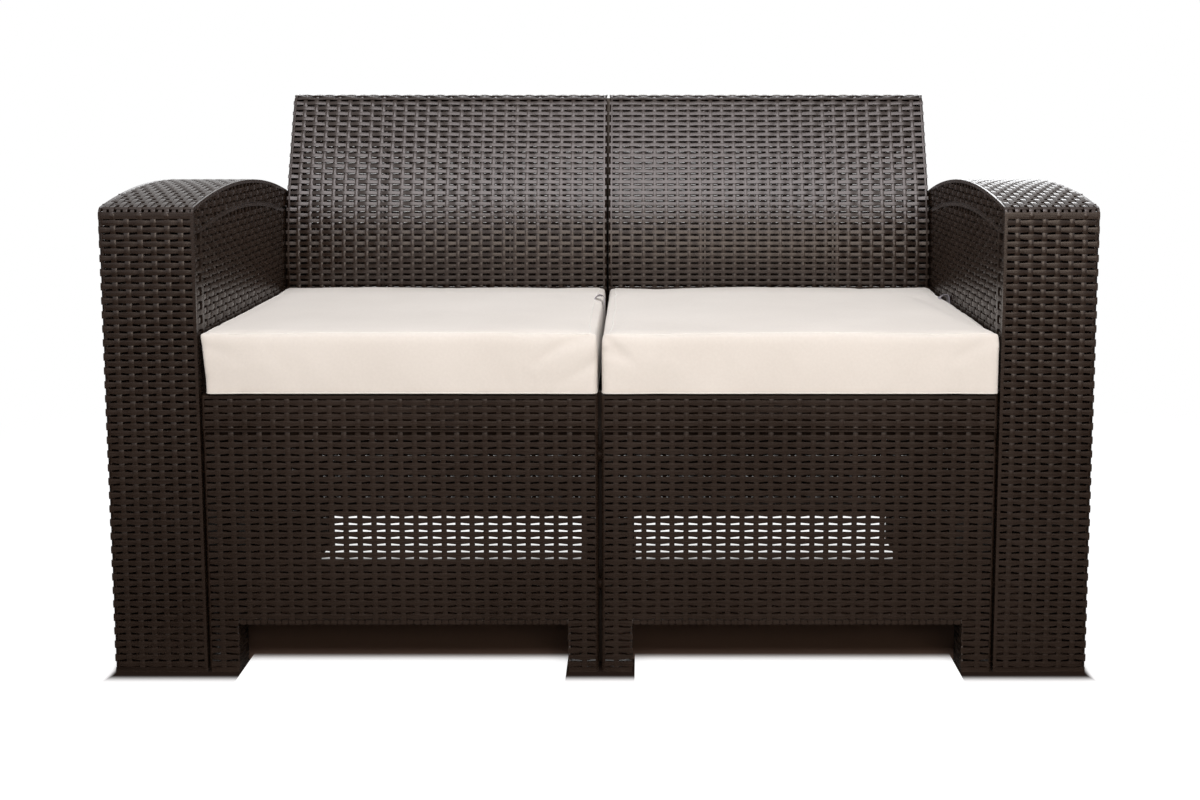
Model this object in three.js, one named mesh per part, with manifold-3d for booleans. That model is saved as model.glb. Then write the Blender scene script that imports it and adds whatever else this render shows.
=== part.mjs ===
// Two-seat garden sofa in moulded rattan-look resin, with two loose seat cushions.
// Millimetres, +Z up. The front faces -Y. The origin is on the floor, under the centre of the whole sofa.
// Each seat is one module of front panel, seat panel, backrest and rear panel, and an arm closes each end.
// "Setback" values are measured rearwards from the arms' front face.
import * as THREE from "three";
import { mergeVertices } from "three/addons/utils/BufferGeometryUtils.js";
import Module from "manifold-3d";

const wasm = await Module();
wasm.setup();

// Overall sizes
const sofaWidth = 1330;
const frameDepth = 630;
const sofaHeight = 790;
const cushionOverhang = 10;
const wall = 4;
const ribThickness = 3;
const seatingGap = 0.3;
const cutOverrun = 5;
const weldTolerance = 0.0001;

// Arms
const armWidth = 126;
const armCrownHeight = 662;
const armCrownSetbackShare = 0.373;
const armArcRadius = 1220;
const armFrontRounding = 8;
const armFrontStrip = 30;
const armRearStrip = 50;
const armTopStrip = 35;
const armRibCount = 3;
const armRibDepth = 45;
const armOpeningColumns = 8;
const armOpeningRows = 8;
const armOpeningLength = 40;
const armOpeningHeight = 11;
const armOpeningTopInset = 127;
const armOpeningBottomInset = 60;
const innerPanelDrop = 30;
const innerPanelPlay = 0.6;
const innerPanelLip = 8;
const innerPanelLipThickness = 3;
const innerPanelToRib = 4;

// Seat modules
const deckHeight = 386;
const apronHeight = 46;
const apronGap = 1.5;
const apronPlay = 0.6;
const footWidth = 41;
const columnDepth = 48;
const frontCutoutHeight = 67;
const rearCutoutHeight = 50;
const frontLedgeDepth = 20;
const panelRibDepth = 12;
const panelRibHeightShares = [0.42, 0.74];
const joggleHeight = 12;
const rearFaceInset = 12;
const rearLedgeDepth = 30;
const rearLipDepth = 12;

// Seat panel underside and deck
const skirtDepth = 32;
const skirtToColumn = 2;
const deckRibDepth = 28;
const deckRibSpanShares = [0.12, 0.86];
const deckRibsAcross = 2;
const deckRibsAlong = 3;
const drainSlotLength = 60;
const drainSlotWidth = 8;
const drainColumnShares = [-0.33, -0.11, 0.11, 0.33];
const drainRowShares = [0.3, 0.56];

// Backrest
const backDepth = 136;
const backTopDepth = 49.2;
const backBendShare = 0.4937;
const backBendReachShare = 0.2115;
const backTopRounding = 14;
const capLipHeight = 16;
const backRibDepth = 20;
const backRibShares = [-0.2, 0.2];
const tongueWidth = 40;
const tongueThickness = 3.4;
const tongueReach = 16;
const tongueShare = 0.32;

// Bolted joints between the arms and the modules
const padRadius = 9;
const padHeight = 2.4;
const boltRadius = 3;
const boltPlay = 0.5;
const boltHeadRadius = 7;
const boltHeadThickness = 4;
const boltHeadTopShare = 0.8;
const boltTail = 2;
const nutRadius = 6;
const nutHeight = 7;
const wingSpan = 20;
const wingThickness = 2.5;
const wingHeight = 9;
const boltFrontSetback = 17;
const boltRearInset = 22;
const boltLowerHeight = 120;
const boltUpperInset = 38.5;

// Cushions
const cushionRearGap = 8;
const cushionHeight = 80;
const cushionSideEase = 1;
const cushionRounding = 9;
const cushionCrown = 5;
const cushionSidePull = 4;
const coverThickness = 1.6;
const zipLength = 420;
const zipHeight = 6;
const zipSlotRise = 40;
const zipBeadHeight = 2.4;
const zipBeadDepth = 1.2;
const zipToothPitch = 12;
const zipToothGap = 3;
const sliderLength = 11;
const sliderHeight = 8;
const sliderDepth = 3;
const sliderPlay = 0.3;
const sliderLugWidth = 1;
const sliderLugReach = 1.6;
const pullWidth = 4;
const pullLength = 22;
const pullThickness = 1;
const pullPinRadius = 0.5;
const labelLength = 24;
const labelRise = 12;
const labelRoot = 10;
const labelPly = 0.7;
const labelFold = 2.4;
const labelSetbackShare = 0.69;

// Places worked out from the sizes
const frontY = cushionOverhang - (frameDepth + cushionOverhang) / 2;
const halfWidth = sofaWidth / 2;
const armInnerX = halfWidth - armWidth;
const moduleOuterX = armInnerX - padHeight - seatingGap;
const moduleInnerX = padHeight + seatingGap / 2;
const moduleWidth = moduleOuterX - moduleInnerX;
const moduleHalf = moduleWidth / 2;
const moduleCentreX = (moduleOuterX + moduleInnerX) / 2;
const deckUnderside = deckHeight - wall;
const frontTop = deckHeight - apronHeight - apronGap;
const innerPanelBottom = deckUnderside - innerPanelDrop;
const armCrownSetback = armCrownSetbackShare * frameDepth;
const rearFaceSetback = frameDepth - rearFaceInset;
const rearInnerSetback = rearFaceSetback - wall;
const rearTop = sofaHeight - capLipHeight - apronGap;
const boltHoleRadius = boltRadius + boltPlay;
const boltRearSetback = rearFaceSetback - boltRearInset;
const boltHeights = { lower: boltLowerHeight, upper: frontTop - boltUpperInset };

// The backrest's face stands upright and then bends back, so that its top edge meets the cap. The bend
// is an arc that starts and ends at one distance, the reach, from where the two straight parts would meet.
const backFaceSetback = rearFaceSetback - backDepth;
const backTopSetback = rearFaceSetback - backTopDepth;
const backRise = sofaHeight - deckHeight;
const backBendHeight = deckHeight + backBendShare * backRise;
const backBendReach = backBendReachShare * backRise;
const backRecline = Math.atan2(backTopSetback - backFaceSetback, sofaHeight - backBendHeight);
const backCurveStart = backBendHeight - backBendReach;
const backCurveRadius = backBendReach / Math.tan(backRecline / 2);
const cushionDepth = backFaceSetback + cushionOverhang - cushionSidePull - cushionRearGap;

const resin = new THREE.MeshStandardMaterial({ color: 0x3b312d, roughness: 0.48, metalness: 0 });
const fabric = new THREE.MeshStandardMaterial({ color: 0xe9dfd3, roughness: 0.9, metalness: 0 });
const foam = new THREE.MeshStandardMaterial({ color: 0xf0e6c2, roughness: 0.95, metalness: 0 });
const zipNylon = new THREE.MeshStandardMaterial({ color: 0xe4dccf, roughness: 0.6, metalness: 0 });
const zipMetal = new THREE.MeshStandardMaterial({ color: 0xb9b9bb, roughness: 0.35, metalness: 1 });
const satin = new THREE.MeshStandardMaterial({ color: 0xdad7da, roughness: 0.4, metalness: 0 });
const boltPlastic = new THREE.MeshStandardMaterial({ color: 0x26211f, roughness: 0.55, metalness: 0 });

// A three.js geometry as a solid that can be joined and cut.
function solidFrom(geometry) {
  const bare = geometry.index ? geometry.toNonIndexed() : geometry.clone();
  bare.deleteAttribute("normal");
  bare.deleteAttribute("uv");
  const merged = mergeVertices(bare, weldTolerance);
  return new wasm.Manifold(
    new wasm.Mesh({
      numProp: 3,
      vertProperties: merged.attributes.position.array,
      triVerts: new Uint32Array(merged.index.array),
    }),
  );
}

function meshFrom(name, solid, material) {
  const { vertProperties, triVerts, numProp } = solid.getMesh();
  const geometry = new THREE.BufferGeometry();
  geometry.setAttribute("position", new THREE.BufferAttribute(new Float32Array(vertProperties), numProp));
  geometry.setIndex(new THREE.BufferAttribute(new Uint32Array(triVerts), 1));
  geometry.computeVertexNormals();
  const mesh = new THREE.Mesh(geometry, material);
  mesh.name = name;
  return mesh;
}

function join(solids) {
  return solids.reduce((whole, piece) => whole.add(piece));
}

// A box between two values along each axis. Its Y values are setbacks.
function block([x0, x1], [setback0, setback1], [z0, z1]) {
  const geometry = new THREE.BoxGeometry(x1 - x0, setback1 - setback0, z1 - z0);
  geometry.translate((x0 + x1) / 2, frontY + (setback0 + setback1) / 2, (z0 + z1) / 2);
  return solidFrom(geometry);
}

// Extrudes an outline drawn in (setback, height) sideways, from x0 to x1.
const sideways = new THREE.Matrix4().makeBasis(
  new THREE.Vector3(0, 1, 0),
  new THREE.Vector3(0, 0, 1),
  new THREE.Vector3(1, 0, 0),
);
function slab(outline, [x0, x1], curveSegments = 14) {
  const options = { depth: x1 - x0, bevelEnabled: false, curveSegments };
  const geometry = new THREE.ExtrudeGeometry(outline, options);
  geometry.applyMatrix4(sideways);
  geometry.translate(x0, frontY, 0);
  return solidFrom(geometry);
}

// A round bar along X, from its (position, radius) profile.
const turnToX = new THREE.Matrix4().makeRotationZ(-Math.PI / 2);
function turned(profile, setback, z, sides = 10) {
  const points = profile.map(([x, radius]) => new THREE.Vector2(radius, x));
  const geometry = new THREE.LatheGeometry(points, sides);
  geometry.applyMatrix4(turnToX);
  geometry.translate(0, frontY + setback, z);
  return solidFrom(geometry);
}

function rod([x0, x1], radius, setback, z, sides) {
  return turned([[x0, 0], [x0, radius], [x1, radius], [x1, 0]], setback, z, sides);
}

// The two sides of a module, as signs, and two ways to write a range.
const sides = [-1, 1];
const between = (a, b) => [Math.min(a, b), Math.max(a, b)];
const centred = (middle, size) => [middle - size / 2, middle + size / 2];

// Arm outline in (setback, height): flat front and rear, and one long arc on top.
function armOutline({ front = 0, rear = 0, top = 0, bottom = 0, rounding = 0 }) {
  const radius = armArcRadius - top;
  const centreHeight = armCrownHeight - armArcRadius;
  const rearEdge = frameDepth - rear;
  const arcEnd = front + rounding;
  const heightAt = (setback) => centreHeight + Math.sqrt(radius ** 2 - (setback - armCrownSetback) ** 2);
  const angleAt = (setback) => Math.acos((setback - armCrownSetback) / radius);
  const outline = new THREE.Shape();
  outline.moveTo(front, bottom);
  outline.lineTo(rearEdge, bottom);
  outline.lineTo(rearEdge, heightAt(rearEdge));
  outline.absarc(armCrownSetback, centreHeight, radius, angleAt(rearEdge), angleAt(arcEnd), false);
  if (rounding > 0) {
    outline.quadraticCurveTo(front, heightAt(front), front, heightAt(front) - rounding);
  }
  outline.closePath();
  return outline;
}

// A plain grid of openings in the arm's outer side, which stands for the many small slots of the weave.
// No column meets a rib.
function armOpenings() {
  const highest = armCrownHeight - armOpeningTopInset;
  const rise = (highest - armOpeningBottomInset) / (armOpeningRows - 1);
  const column = frameDepth / armOpeningColumns;
  const openings = [];
  for (let i = 0; i < armOpeningColumns; i++) {
    const along = centred(i * column + column / 2, armOpeningLength);
    for (let j = 0; j < armOpeningRows; j++) {
      const up = centred(armOpeningBottomInset + j * rise, armOpeningHeight);
      openings.push(block([halfWidth - wall - cutOverrun, halfWidth + cutOverrun], along, up));
    }
  }
  return join(openings);
}

// Right-hand arm shell: open underneath and, inside its edge strips, towards the seat.
function armShell() {
  const innerX = armInnerX;
  const outerX = halfWidth;
  const bottom = -cutOverrun;
  const cavity = { front: wall, rear: wall, top: wall, bottom, rounding: armFrontRounding - wall };
  const windowEdges = { front: armFrontStrip, rear: armRearStrip, top: armTopStrip, bottom };
  let shell = slab(armOutline({ rounding: armFrontRounding }), [innerX, outerX])
    .subtract(slab(armOutline(cavity), [innerX + wall, outerX - wall]))
    .subtract(slab(armOutline(windowEdges), [innerX - cutOverrun, innerX + wall + cutOverrun]))
    .subtract(armOpenings());
  const ribInnerX = innerX + wall + seatingGap + innerPanelLipThickness + innerPanelToRib;
  const underTop = armOutline({ front: wall, rear: wall, top: wall / 2, bottom: 0 });
  const belowRibs = armOutline({ top: wall + armRibDepth, bottom: -cutOverrun });
  const ribs = slab(underTop, [ribInnerX, outerX - wall / 2]).subtract(
    slab(belowRibs, [innerX, outerX + cutOverrun]),
  );
  for (let i = 1; i <= armRibCount; i++) {
    const thickness = centred((frameDepth * i) / (armRibCount + 1), ribThickness);
    shell = shell.add(ribs.intersect(block([ribInnerX, outerX], thickness, [0, sofaHeight])));
  }
  for (const hole of boltPlaces()) {
    shell = shell.subtract(
      rod([innerX - cutOverrun, innerX + wall + cutOverrun], boltHoleRadius, hole.setback, hole.height),
    );
  }
  return shell;
}

// Inner arm panel: flush in the shell's window, with a lip that hooks behind the edge strips.
function armInnerPanel() {
  const lipX = armInnerX + wall + seatingGap;
  const backX = lipX + innerPanelLipThickness;
  const plate = armOutline({
    front: armFrontStrip + innerPanelPlay,
    rear: armRearStrip + innerPanelPlay,
    top: armTopStrip + innerPanelPlay,
    bottom: innerPanelBottom,
  });
  const lip = armOutline({
    front: armFrontStrip - innerPanelLip,
    rear: armRearStrip - innerPanelLip,
    top: armTopStrip - innerPanelLip,
    bottom: innerPanelBottom,
  });
  return slab(plate, [armInnerX, backX]).add(slab(lip, [lipX, backX]));
}

function boltPlaces() {
  return [boltFrontSetback, boltRearSetback].flatMap((setback) =>
    Object.values(boltHeights).map((height) => ({ setback, height })),
  );
}

// The hollow columns at a panel's two sides, which run down into its feet. wallSetback is the outer
// face of the panel's wall. inwards is +1 where the column runs rearwards from it, and -1 forwards.
function columns(wallSetback, inwards, top) {
  const depth = between(wallSetback, wallSetback + inwards * columnDepth);
  const pieces = [];
  for (const side of sides) {
    const edge = side * moduleHalf;
    const foot = side * (moduleHalf - footWidth);
    pieces.push(block(between(edge, edge - side * wall), depth, [0, top]));
    pieces.push(block(between(foot, foot + side * ribThickness), depth, [0, top]));
    pieces.push(block(between(edge, foot), depth, [0, wall]));
  }
  return join(pieces);
}

// Raised pads round the bolt holes, so that neighbouring pieces meet pad to face.
function withBoltPads(panel, setback) {
  let result = panel;
  for (const side of sides) {
    const face = side * moduleHalf;
    for (const height of Object.values(boltHeights)) {
      const pad = between(face - side * wall / 2, face + side * padHeight);
      const bore = between(face - side * (wall + cutOverrun), face + side * (padHeight + cutOverrun));
      result = result
        .add(rod(pad, padRadius, setback, height))
        .subtract(rod(bore, boltHoleRadius, setback, height));
    }
  }
  return result;
}

function frontPanel() {
  const inside = moduleHalf - footWidth;
  const apronBack = wall + apronPlay;
  const ribDepth = [wall / 2, wall + panelRibDepth];
  const ribs = panelRibHeightShares.map((share) =>
    block([-inside, inside], ribDepth, centred(frontTop * share, ribThickness)),
  );
  const panel = join([
    block([-moduleHalf, moduleHalf], [0, wall], [0, frontTop]).subtract(
      block([-inside, inside], [-cutOverrun, wall + cutOverrun], [-cutOverrun, frontCutoutHeight]),
    ),
    columns(0, 1, frontTop),
    block([-inside, inside], [0, frontLedgeDepth], [frontCutoutHeight, frontCutoutHeight + ribThickness]),
    block([-moduleHalf, moduleHalf], [0, apronBack + wall], [frontTop - joggleHeight, frontTop]),
    block(
      [-moduleHalf + wall, moduleHalf - wall],
      [apronBack, apronBack + wall],
      [frontTop - joggleHeight, deckUnderside - seatingGap],
    ),
    ...ribs,
  ]);
  return withBoltPads(panel, boltFrontSetback);
}

function rearPanel() {
  const inside = moduleHalf - footWidth;
  const ledgeTop = deckUnderside - seatingGap;
  const lipOuter = moduleHalf - wall - apronPlay;
  const lips = sides.map((side) =>
    block(
      between(side * lipOuter, side * (lipOuter - ribThickness)),
      [rearInnerSetback - rearLipDepth, rearFaceSetback],
      [deckHeight + rearLipDepth, rearTop - rearLipDepth],
    ),
  );
  const panel = join([
    block([-moduleHalf, moduleHalf], [rearInnerSetback, rearFaceSetback], [0, rearTop]).subtract(
      block(
        [-inside, inside],
        [rearInnerSetback - cutOverrun, rearFaceSetback + cutOverrun],
        [-cutOverrun, rearCutoutHeight],
      ),
    ),
    columns(rearFaceSetback, -1, ledgeTop),
    block(
      [-inside, inside],
      [rearFaceSetback - frontLedgeDepth, rearFaceSetback],
      [rearCutoutHeight, rearCutoutHeight + ribThickness],
    ),
    block(
      [-inside, inside],
      [rearInnerSetback - rearLedgeDepth, rearFaceSetback],
      [ledgeTop - wall, ledgeTop],
    ),
    ...lips,
  ]);
  return withBoltPads(panel, boltRearSetback);
}

// Where the backrest's tongues drop through the deck, as X ranges.
function tongueRanges(play) {
  return sides.map((side) => {
    const width = tongueWidth + 2 * play;
    return centred(side * tongueShare * moduleWidth, width);
  });
}

function tongueSetbacks(play) {
  const start = backFaceSetback + (wall - tongueThickness) / 2;
  return [start - play, start + tongueThickness + play];
}

function seatPanel() {
  const deckRear = rearInnerSetback - seatingGap;
  const span = deckRibSpanShares.map((share) => deckRear * share);
  const ribZ = [deckUnderside - deckRibDepth, deckHeight - wall / 2];
  const skirt = [columnDepth + skirtToColumn, rearFaceSetback - columnDepth - skirtToColumn];
  const ribHalf = ribThickness / 2;
  const pieces = [
    block([-moduleHalf, moduleHalf], [0, deckRear], [deckUnderside, deckHeight]),
    block([-moduleHalf, moduleHalf], [0, wall], [deckHeight - apronHeight, deckHeight]),
  ];
  for (const side of sides) {
    const edge = side * moduleHalf;
    const thickness = between(edge, edge - side * ribThickness);
    pieces.push(block(thickness, skirt, [deckUnderside - skirtDepth, deckHeight]));
  }
  for (let i = 0; i < deckRibsAcross; i++) {
    const setback = span[0] + ((span[1] - span[0]) * i) / (deckRibsAcross - 1);
    pieces.push(block([-moduleHalf + ribHalf, moduleHalf - ribHalf], centred(setback, ribThickness), ribZ));
  }
  for (let i = 1; i <= deckRibsAlong; i++) {
    const x = -moduleHalf + (moduleWidth * i) / (deckRibsAlong + 1);
    pieces.push(block(centred(x, ribThickness), span, ribZ));
  }
  let panel = join(pieces);
  const through = [deckUnderside - cutOverrun, deckHeight + cutOverrun];
  for (const rowShare of drainRowShares) {
    for (const columnShare of drainColumnShares) {
      const x = columnShare * moduleWidth;
      const setback = rowShare * deckRear;
      const slot = block(centred(x, drainSlotWidth), centred(setback, drainSlotLength), through);
      panel = panel.subtract(slot);
    }
  }
  for (const range of tongueRanges(seatingGap)) {
    panel = panel.subtract(block(range, tongueSetbacks(seatingGap), through));
  }
  return panel;
}

const backCurveSegments = 8;

// Backrest outline in (setback, height), moved inwards by inset: upright behind the cushion, then
// curved back to a straight recline, with a rounded top edge. rearEdge closes it at the rear.
function backOutline({ inset = 0, rearEdge, bottom }) {
  const top = sofaHeight - inset;
  const radius = backCurveRadius - inset;
  const rounding = Math.max(backTopRounding - inset, wall);
  const curveCentre = backFaceSetback + backCurveRadius;
  const kneeSetback = curveCentre - radius * Math.cos(backRecline);
  const kneeHeight = backCurveStart + radius * Math.sin(backRecline);
  const cornerSetback = kneeSetback + (top - kneeHeight) * Math.tan(backRecline);
  const outline = new THREE.Shape();
  outline.moveTo(backFaceSetback + inset, bottom);
  outline.lineTo(rearEdge, bottom);
  outline.lineTo(rearEdge, top);
  outline.lineTo(cornerSetback + rounding, top);
  outline.quadraticCurveTo(
    cornerSetback,
    top,
    cornerSetback - rounding * Math.sin(backRecline),
    top - rounding * Math.cos(backRecline),
  );
  outline.lineTo(kneeSetback, kneeHeight);
  outline.absarc(curveCentre, backCurveStart, radius, Math.PI - backRecline, Math.PI, false);
  outline.closePath();
  return outline;
}

function backrest() {
  const bottom = deckHeight + seatingGap;
  const cheekRear = rearInnerSetback - seatingGap;
  const full = [-moduleHalf, moduleHalf];
  const beyond = rearFaceSetback + cutOverrun;
  const cavity = (inset) => backOutline({ inset, rearEdge: rearInnerSetback, bottom: bottom - cutOverrun });
  let shell = slab(backOutline({ rearEdge: rearFaceSetback, bottom }), full, backCurveSegments)
    .subtract(block([-halfWidth, halfWidth], [cheekRear, beyond], [0, sofaHeight - capLipHeight]))
    .subtract(slab(cavity(wall), [-moduleHalf + wall, moduleHalf - wall], backCurveSegments));
  for (const share of backRibShares) {
    const thickness = centred(share * moduleWidth, ribThickness);
    const outline = backOutline({ inset: wall / 2, rearEdge: cheekRear, bottom });
    const rib = slab(outline, thickness, backCurveSegments)
      .subtract(slab(cavity(wall + backRibDepth), full, backCurveSegments))
      .subtract(block(full, [cheekRear - seatingGap, beyond], [0, sofaHeight]));
    shell = shell.add(rib);
  }
  const tongueZ = [deckUnderside - tongueReach, bottom + wall];
  return join([shell, ...tongueRanges(0).map((range) => block(range, tongueSetbacks(0), tongueZ))]);
}

// A cushion form in module coordinates: a rounded block, crowned on top and in front, whose sides
// pull in between its corners. inset shrinks it for the foam inside its cover.
const cushionCounts = { across: 12, deep: 10, high: 5 };
function cushionForm(inset) {
  const half = new THREE.Vector3(
    moduleHalf + cushionSideEase - inset,
    cushionDepth / 2 - inset,
    cushionHeight / 2 - inset,
  );
  const rounding = cushionRounding - inset;
  const { across, deep, high } = cushionCounts;
  const geometry = new THREE.BoxGeometry(1, 1, 1, across, deep, high);
  const positions = geometry.attributes.position;
  const steps = { x: across, y: deep, z: high };
  const point = new THREE.Vector3();
  for (let i = 0; i < positions.count; i++) {
    point.fromBufferAttribute(positions, i);
    for (const axis of ["x", "y", "z"]) {
      point[axis] = gradedStep(point[axis], steps[axis], half[axis], rounding);
    }
    const flat = half.clone().subScalar(rounding);
    const core = point.clone().clamp(flat.clone().negate(), flat);
    const outwards = point.clone().sub(core);
    if (outwards.length() > 0) point.copy(core).addScaledVector(outwards.normalize(), rounding);
    const u = point.x / half.x;
    const v = point.y / half.y;
    const w = point.z / half.z;
    point.z += w > 0 ? cushionCrown * w * (1 - u ** 2) * (1 - v ** 2) : 0;
    point.x -= cushionSidePull * u ** 3 * (1 - v ** 2);
    if (v < 0) point.y -= cushionSidePull * v ** 2 * u ** 2;
    positions.setXYZ(i, point.x, point.y, point.z);
  }
  const middle = cushionMiddle();
  geometry.translate(0, frontY + middle.setback, middle.height);
  return solidFrom(geometry);
}

// Even grid steps across a unit block, moved so that two rows lie on the rounded edge.
function gradedStep(value, count, half, rounding) {
  const index = Math.round((value + 1 / 2) * count);
  const fromEnd = Math.min(index, count - index);
  const side = index * 2 < count ? -1 : 1;
  const edge = half - rounding;
  if (fromEnd === 0) return side * half;
  if (fromEnd === 1) return side * (edge + rounding / 2);
  if (fromEnd === 2) return side * edge;
  return edge * ((2 * (index - 2)) / (count - 4) - 1);
}

function cushionMiddle() {
  return {
    setback: cushionDepth / 2 - cushionOverhang + cushionSidePull,
    height: deckHeight + seatingGap + cushionHeight / 2,
  };
}

const cushionRear = cushionMiddle().setback + cushionDepth / 2;
const zipHeightAbove = deckHeight + seatingGap + zipSlotRise;

function cushionCover() {
  return cushionForm(0)
    .subtract(cushionForm(coverThickness))
    .subtract(
      block(
        centred(0, zipLength),
        [cushionRear - coverThickness - cutOverrun, cushionRear + cutOverrun],
        centred(zipHeightAbove, zipHeight),
      ),
    );
}

function foamCore() {
  return cushionForm(coverThickness + seatingGap);
}

// The closed zip: a tape in the cover's slot, with a notched bead standing out from it.
function zip() {
  const length = zipLength - 2 * seatingGap;
  const tape = block(
    centred(0, length),
    [cushionRear - coverThickness, cushionRear - seatingGap],
    centred(zipHeightAbove, zipHeight - 2 * seatingGap),
  );
  const beadEnd = length - 2 * sliderLength;
  const teeth = Math.floor(beadEnd / zipToothPitch);
  const pieces = [tape];
  for (let i = 0; i < teeth; i++) {
    pieces.push(
      block(
        centred((i - (teeth - 1) / 2) * zipToothPitch, zipToothPitch - zipToothGap),
        [cushionRear - coverThickness / 2, cushionRear + zipBeadDepth],
        centred(zipHeightAbove, zipBeadHeight),
      ),
    );
  }
  return join(pieces);
}

// The slider straddles the bead from behind, and two lugs hold the pull's pin.
const sliderMiddle = zipLength / 2 - sliderLength;
function zipSlider() {
  const near = cushionRear + sliderPlay;
  const far = near + sliderDepth;
  const lugs = sides.map((side) =>
    block(
      centred(sliderMiddle + side * (pullWidth / 2 + sliderPlay + sliderLugWidth / 2), sliderLugWidth),
      [far - sliderPlay, far + sliderLugReach],
      centred(zipHeightAbove, sliderLugReach),
    ),
  );
  const groove = zipBeadHeight + 2 * sliderPlay;
  return join([
    block(centred(sliderMiddle, sliderLength), [near, far], centred(zipHeightAbove, sliderHeight)),
    ...lugs,
  ]).subtract(
    block(
      centred(sliderMiddle, sliderLength + cutOverrun),
      [near - cutOverrun, cushionRear + zipBeadDepth + sliderPlay],
      centred(zipHeightAbove, groove),
    ),
  );
}

// The pull hangs from its pin between the slider's lugs.
function zipPull() {
  const pinSetback = cushionRear + sliderPlay + sliderDepth + sliderLugReach / 2;
  const plateBottom = zipHeightAbove - pullLength;
  const pin = rod(centred(sliderMiddle, pullWidth), pullPinRadius, pinSetback, zipHeightAbove, 8);
  const plate = block(
    centred(sliderMiddle, pullWidth),
    centred(pinSetback, pullThickness),
    [plateBottom, zipHeightAbove],
  );
  return pin.add(plate);
}

// A blank care label, folded to a loop and standing up out of the cushion's side seam.
function careLabel() {
  const middle = cushionMiddle();
  const setback = labelSetbackShare * cushionDepth;
  const v = (setback - middle.setback) / (cushionDepth / 2);
  const sideX = moduleHalf + cushionSideEase - cushionSidePull * (1 - v ** 2);
  const seam = middle.height + cushionHeight / 2;
  const x0 = sideX + seatingGap;
  const along = centred(setback, labelLength);
  return block([x0, x0 + labelFold], along, [seam - labelRoot, seam + labelRise]).subtract(
    block(
      [x0 + labelPly, x0 + labelFold - labelPly],
      [along[0] - cutOverrun, along[1] + cutOverrun],
      [seam - labelRoot - cutOverrun, seam + labelRise - labelPly],
    ),
  );
}

// A bolt along +X whose head bears on a face at headX. grip is the thickness that it clamps.
function bolt(headX, grip, place) {
  const bearing = headX - seatingGap;
  const tip = headX + grip + seatingGap + nutHeight + boltTail;
  const profile = [
    [bearing - boltHeadThickness, 0],
    [bearing - boltHeadThickness, boltHeadRadius * boltHeadTopShare],
    [bearing - boltHeadThickness / 2, boltHeadRadius],
    [bearing, boltHeadRadius],
    [bearing, boltRadius],
    [tip, boltRadius],
    [tip, 0],
  ];
  return turned(profile, place.setback, place.height);
}

function wingNut(headX, grip, place) {
  const seat = headX + grip + seatingGap;
  const hub = rod([seat, seat + nutHeight], nutRadius, place.setback, place.height);
  const wings = block(
    [seat + nutHeight / 2, seat + wingHeight],
    centred(place.setback, wingThickness),
    centred(place.height, wingSpan),
  );
  const bore = rod(
    [seat - cutOverrun, seat + wingHeight + cutOverrun],
    boltRadius + seatingGap,
    place.setback,
    place.height,
  );
  return hub.add(wings).subtract(bore);
}

const sofa = new THREE.Group();

// Arms
const arms = { armShell: armShell(), innerPanel: armInnerPanel() };
for (const [side, sign] of [["left", -1], ["right", 1]]) {
  const arm = new THREE.Group();
  arm.scale.x = sign;
  arm.add(meshFrom(side + "_arm_shell", arms.armShell, resin));
  arm.add(meshFrom(side + "_arm_inner_panel", arms.innerPanel, resin));
  sofa.add(arm);
}

// Seat modules, which are the same mouldings twice
const modulePieces = [
  ["front_panel", frontPanel(), resin],
  ["seat_panel", seatPanel(), resin],
  ["backrest", backrest(), resin],
  ["rear_panel", rearPanel(), resin],
  ["cushion_cover", cushionCover(), fabric],
  ["foam_core", foamCore(), foam],
  ["zip", zip(), zipNylon],
  ["zip_slider", zipSlider(), zipMetal],
  ["zip_pull", zipPull(), zipMetal],
  ["care_label", careLabel(), satin],
];
for (const [side, sign] of [["left", -1], ["right", 1]]) {
  const module = new THREE.Group();
  module.position.x = sign * moduleCentreX;
  for (const [name, solid, material] of modulePieces) {
    module.add(meshFrom(side + "_" + name, solid, material));
  }
  sofa.add(module);
}

// Bolts and wing nuts: heads inside the arms, and in the left module for the centre ones
const armGrip = wall + seatingGap + padHeight + wall;
const centreGrip = 2 * (wall + padHeight) + seatingGap;
const jointRows = [["left_arm", -1], ["centre", 0], ["right_arm", 1]];
for (const [row, sign] of jointRows) {
  const group = new THREE.Group();
  if (sign > 0) group.scale.x = -1;
  const headX = sign === 0 ? -(moduleInnerX + wall) : -(armInnerX + wall);
  const grip = sign === 0 ? centreGrip : armGrip;
  for (const [end, setback] of [["front", boltFrontSetback], ["rear", boltRearSetback]]) {
    for (const [level, height] of Object.entries(boltHeights)) {
      const place = { setback, height };
      const name = [row, end, level].join("_");
      group.add(meshFrom(name + "_bolt", bolt(headX, grip, place), boltPlastic));
      group.add(meshFrom(name + "_wing_nut", wingNut(headX, grip, place), boltPlastic));
    }
  }
  sofa.add(group);
}

export default sofa;
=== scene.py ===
from math import atan2, cos, hypot, pi, radians, sin, sqrt, tan

import bmesh
import bpy
import numpy as np
from mathutils import Matrix, Vector, noise
from mathutils.bvhtree import BVHTree


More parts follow.
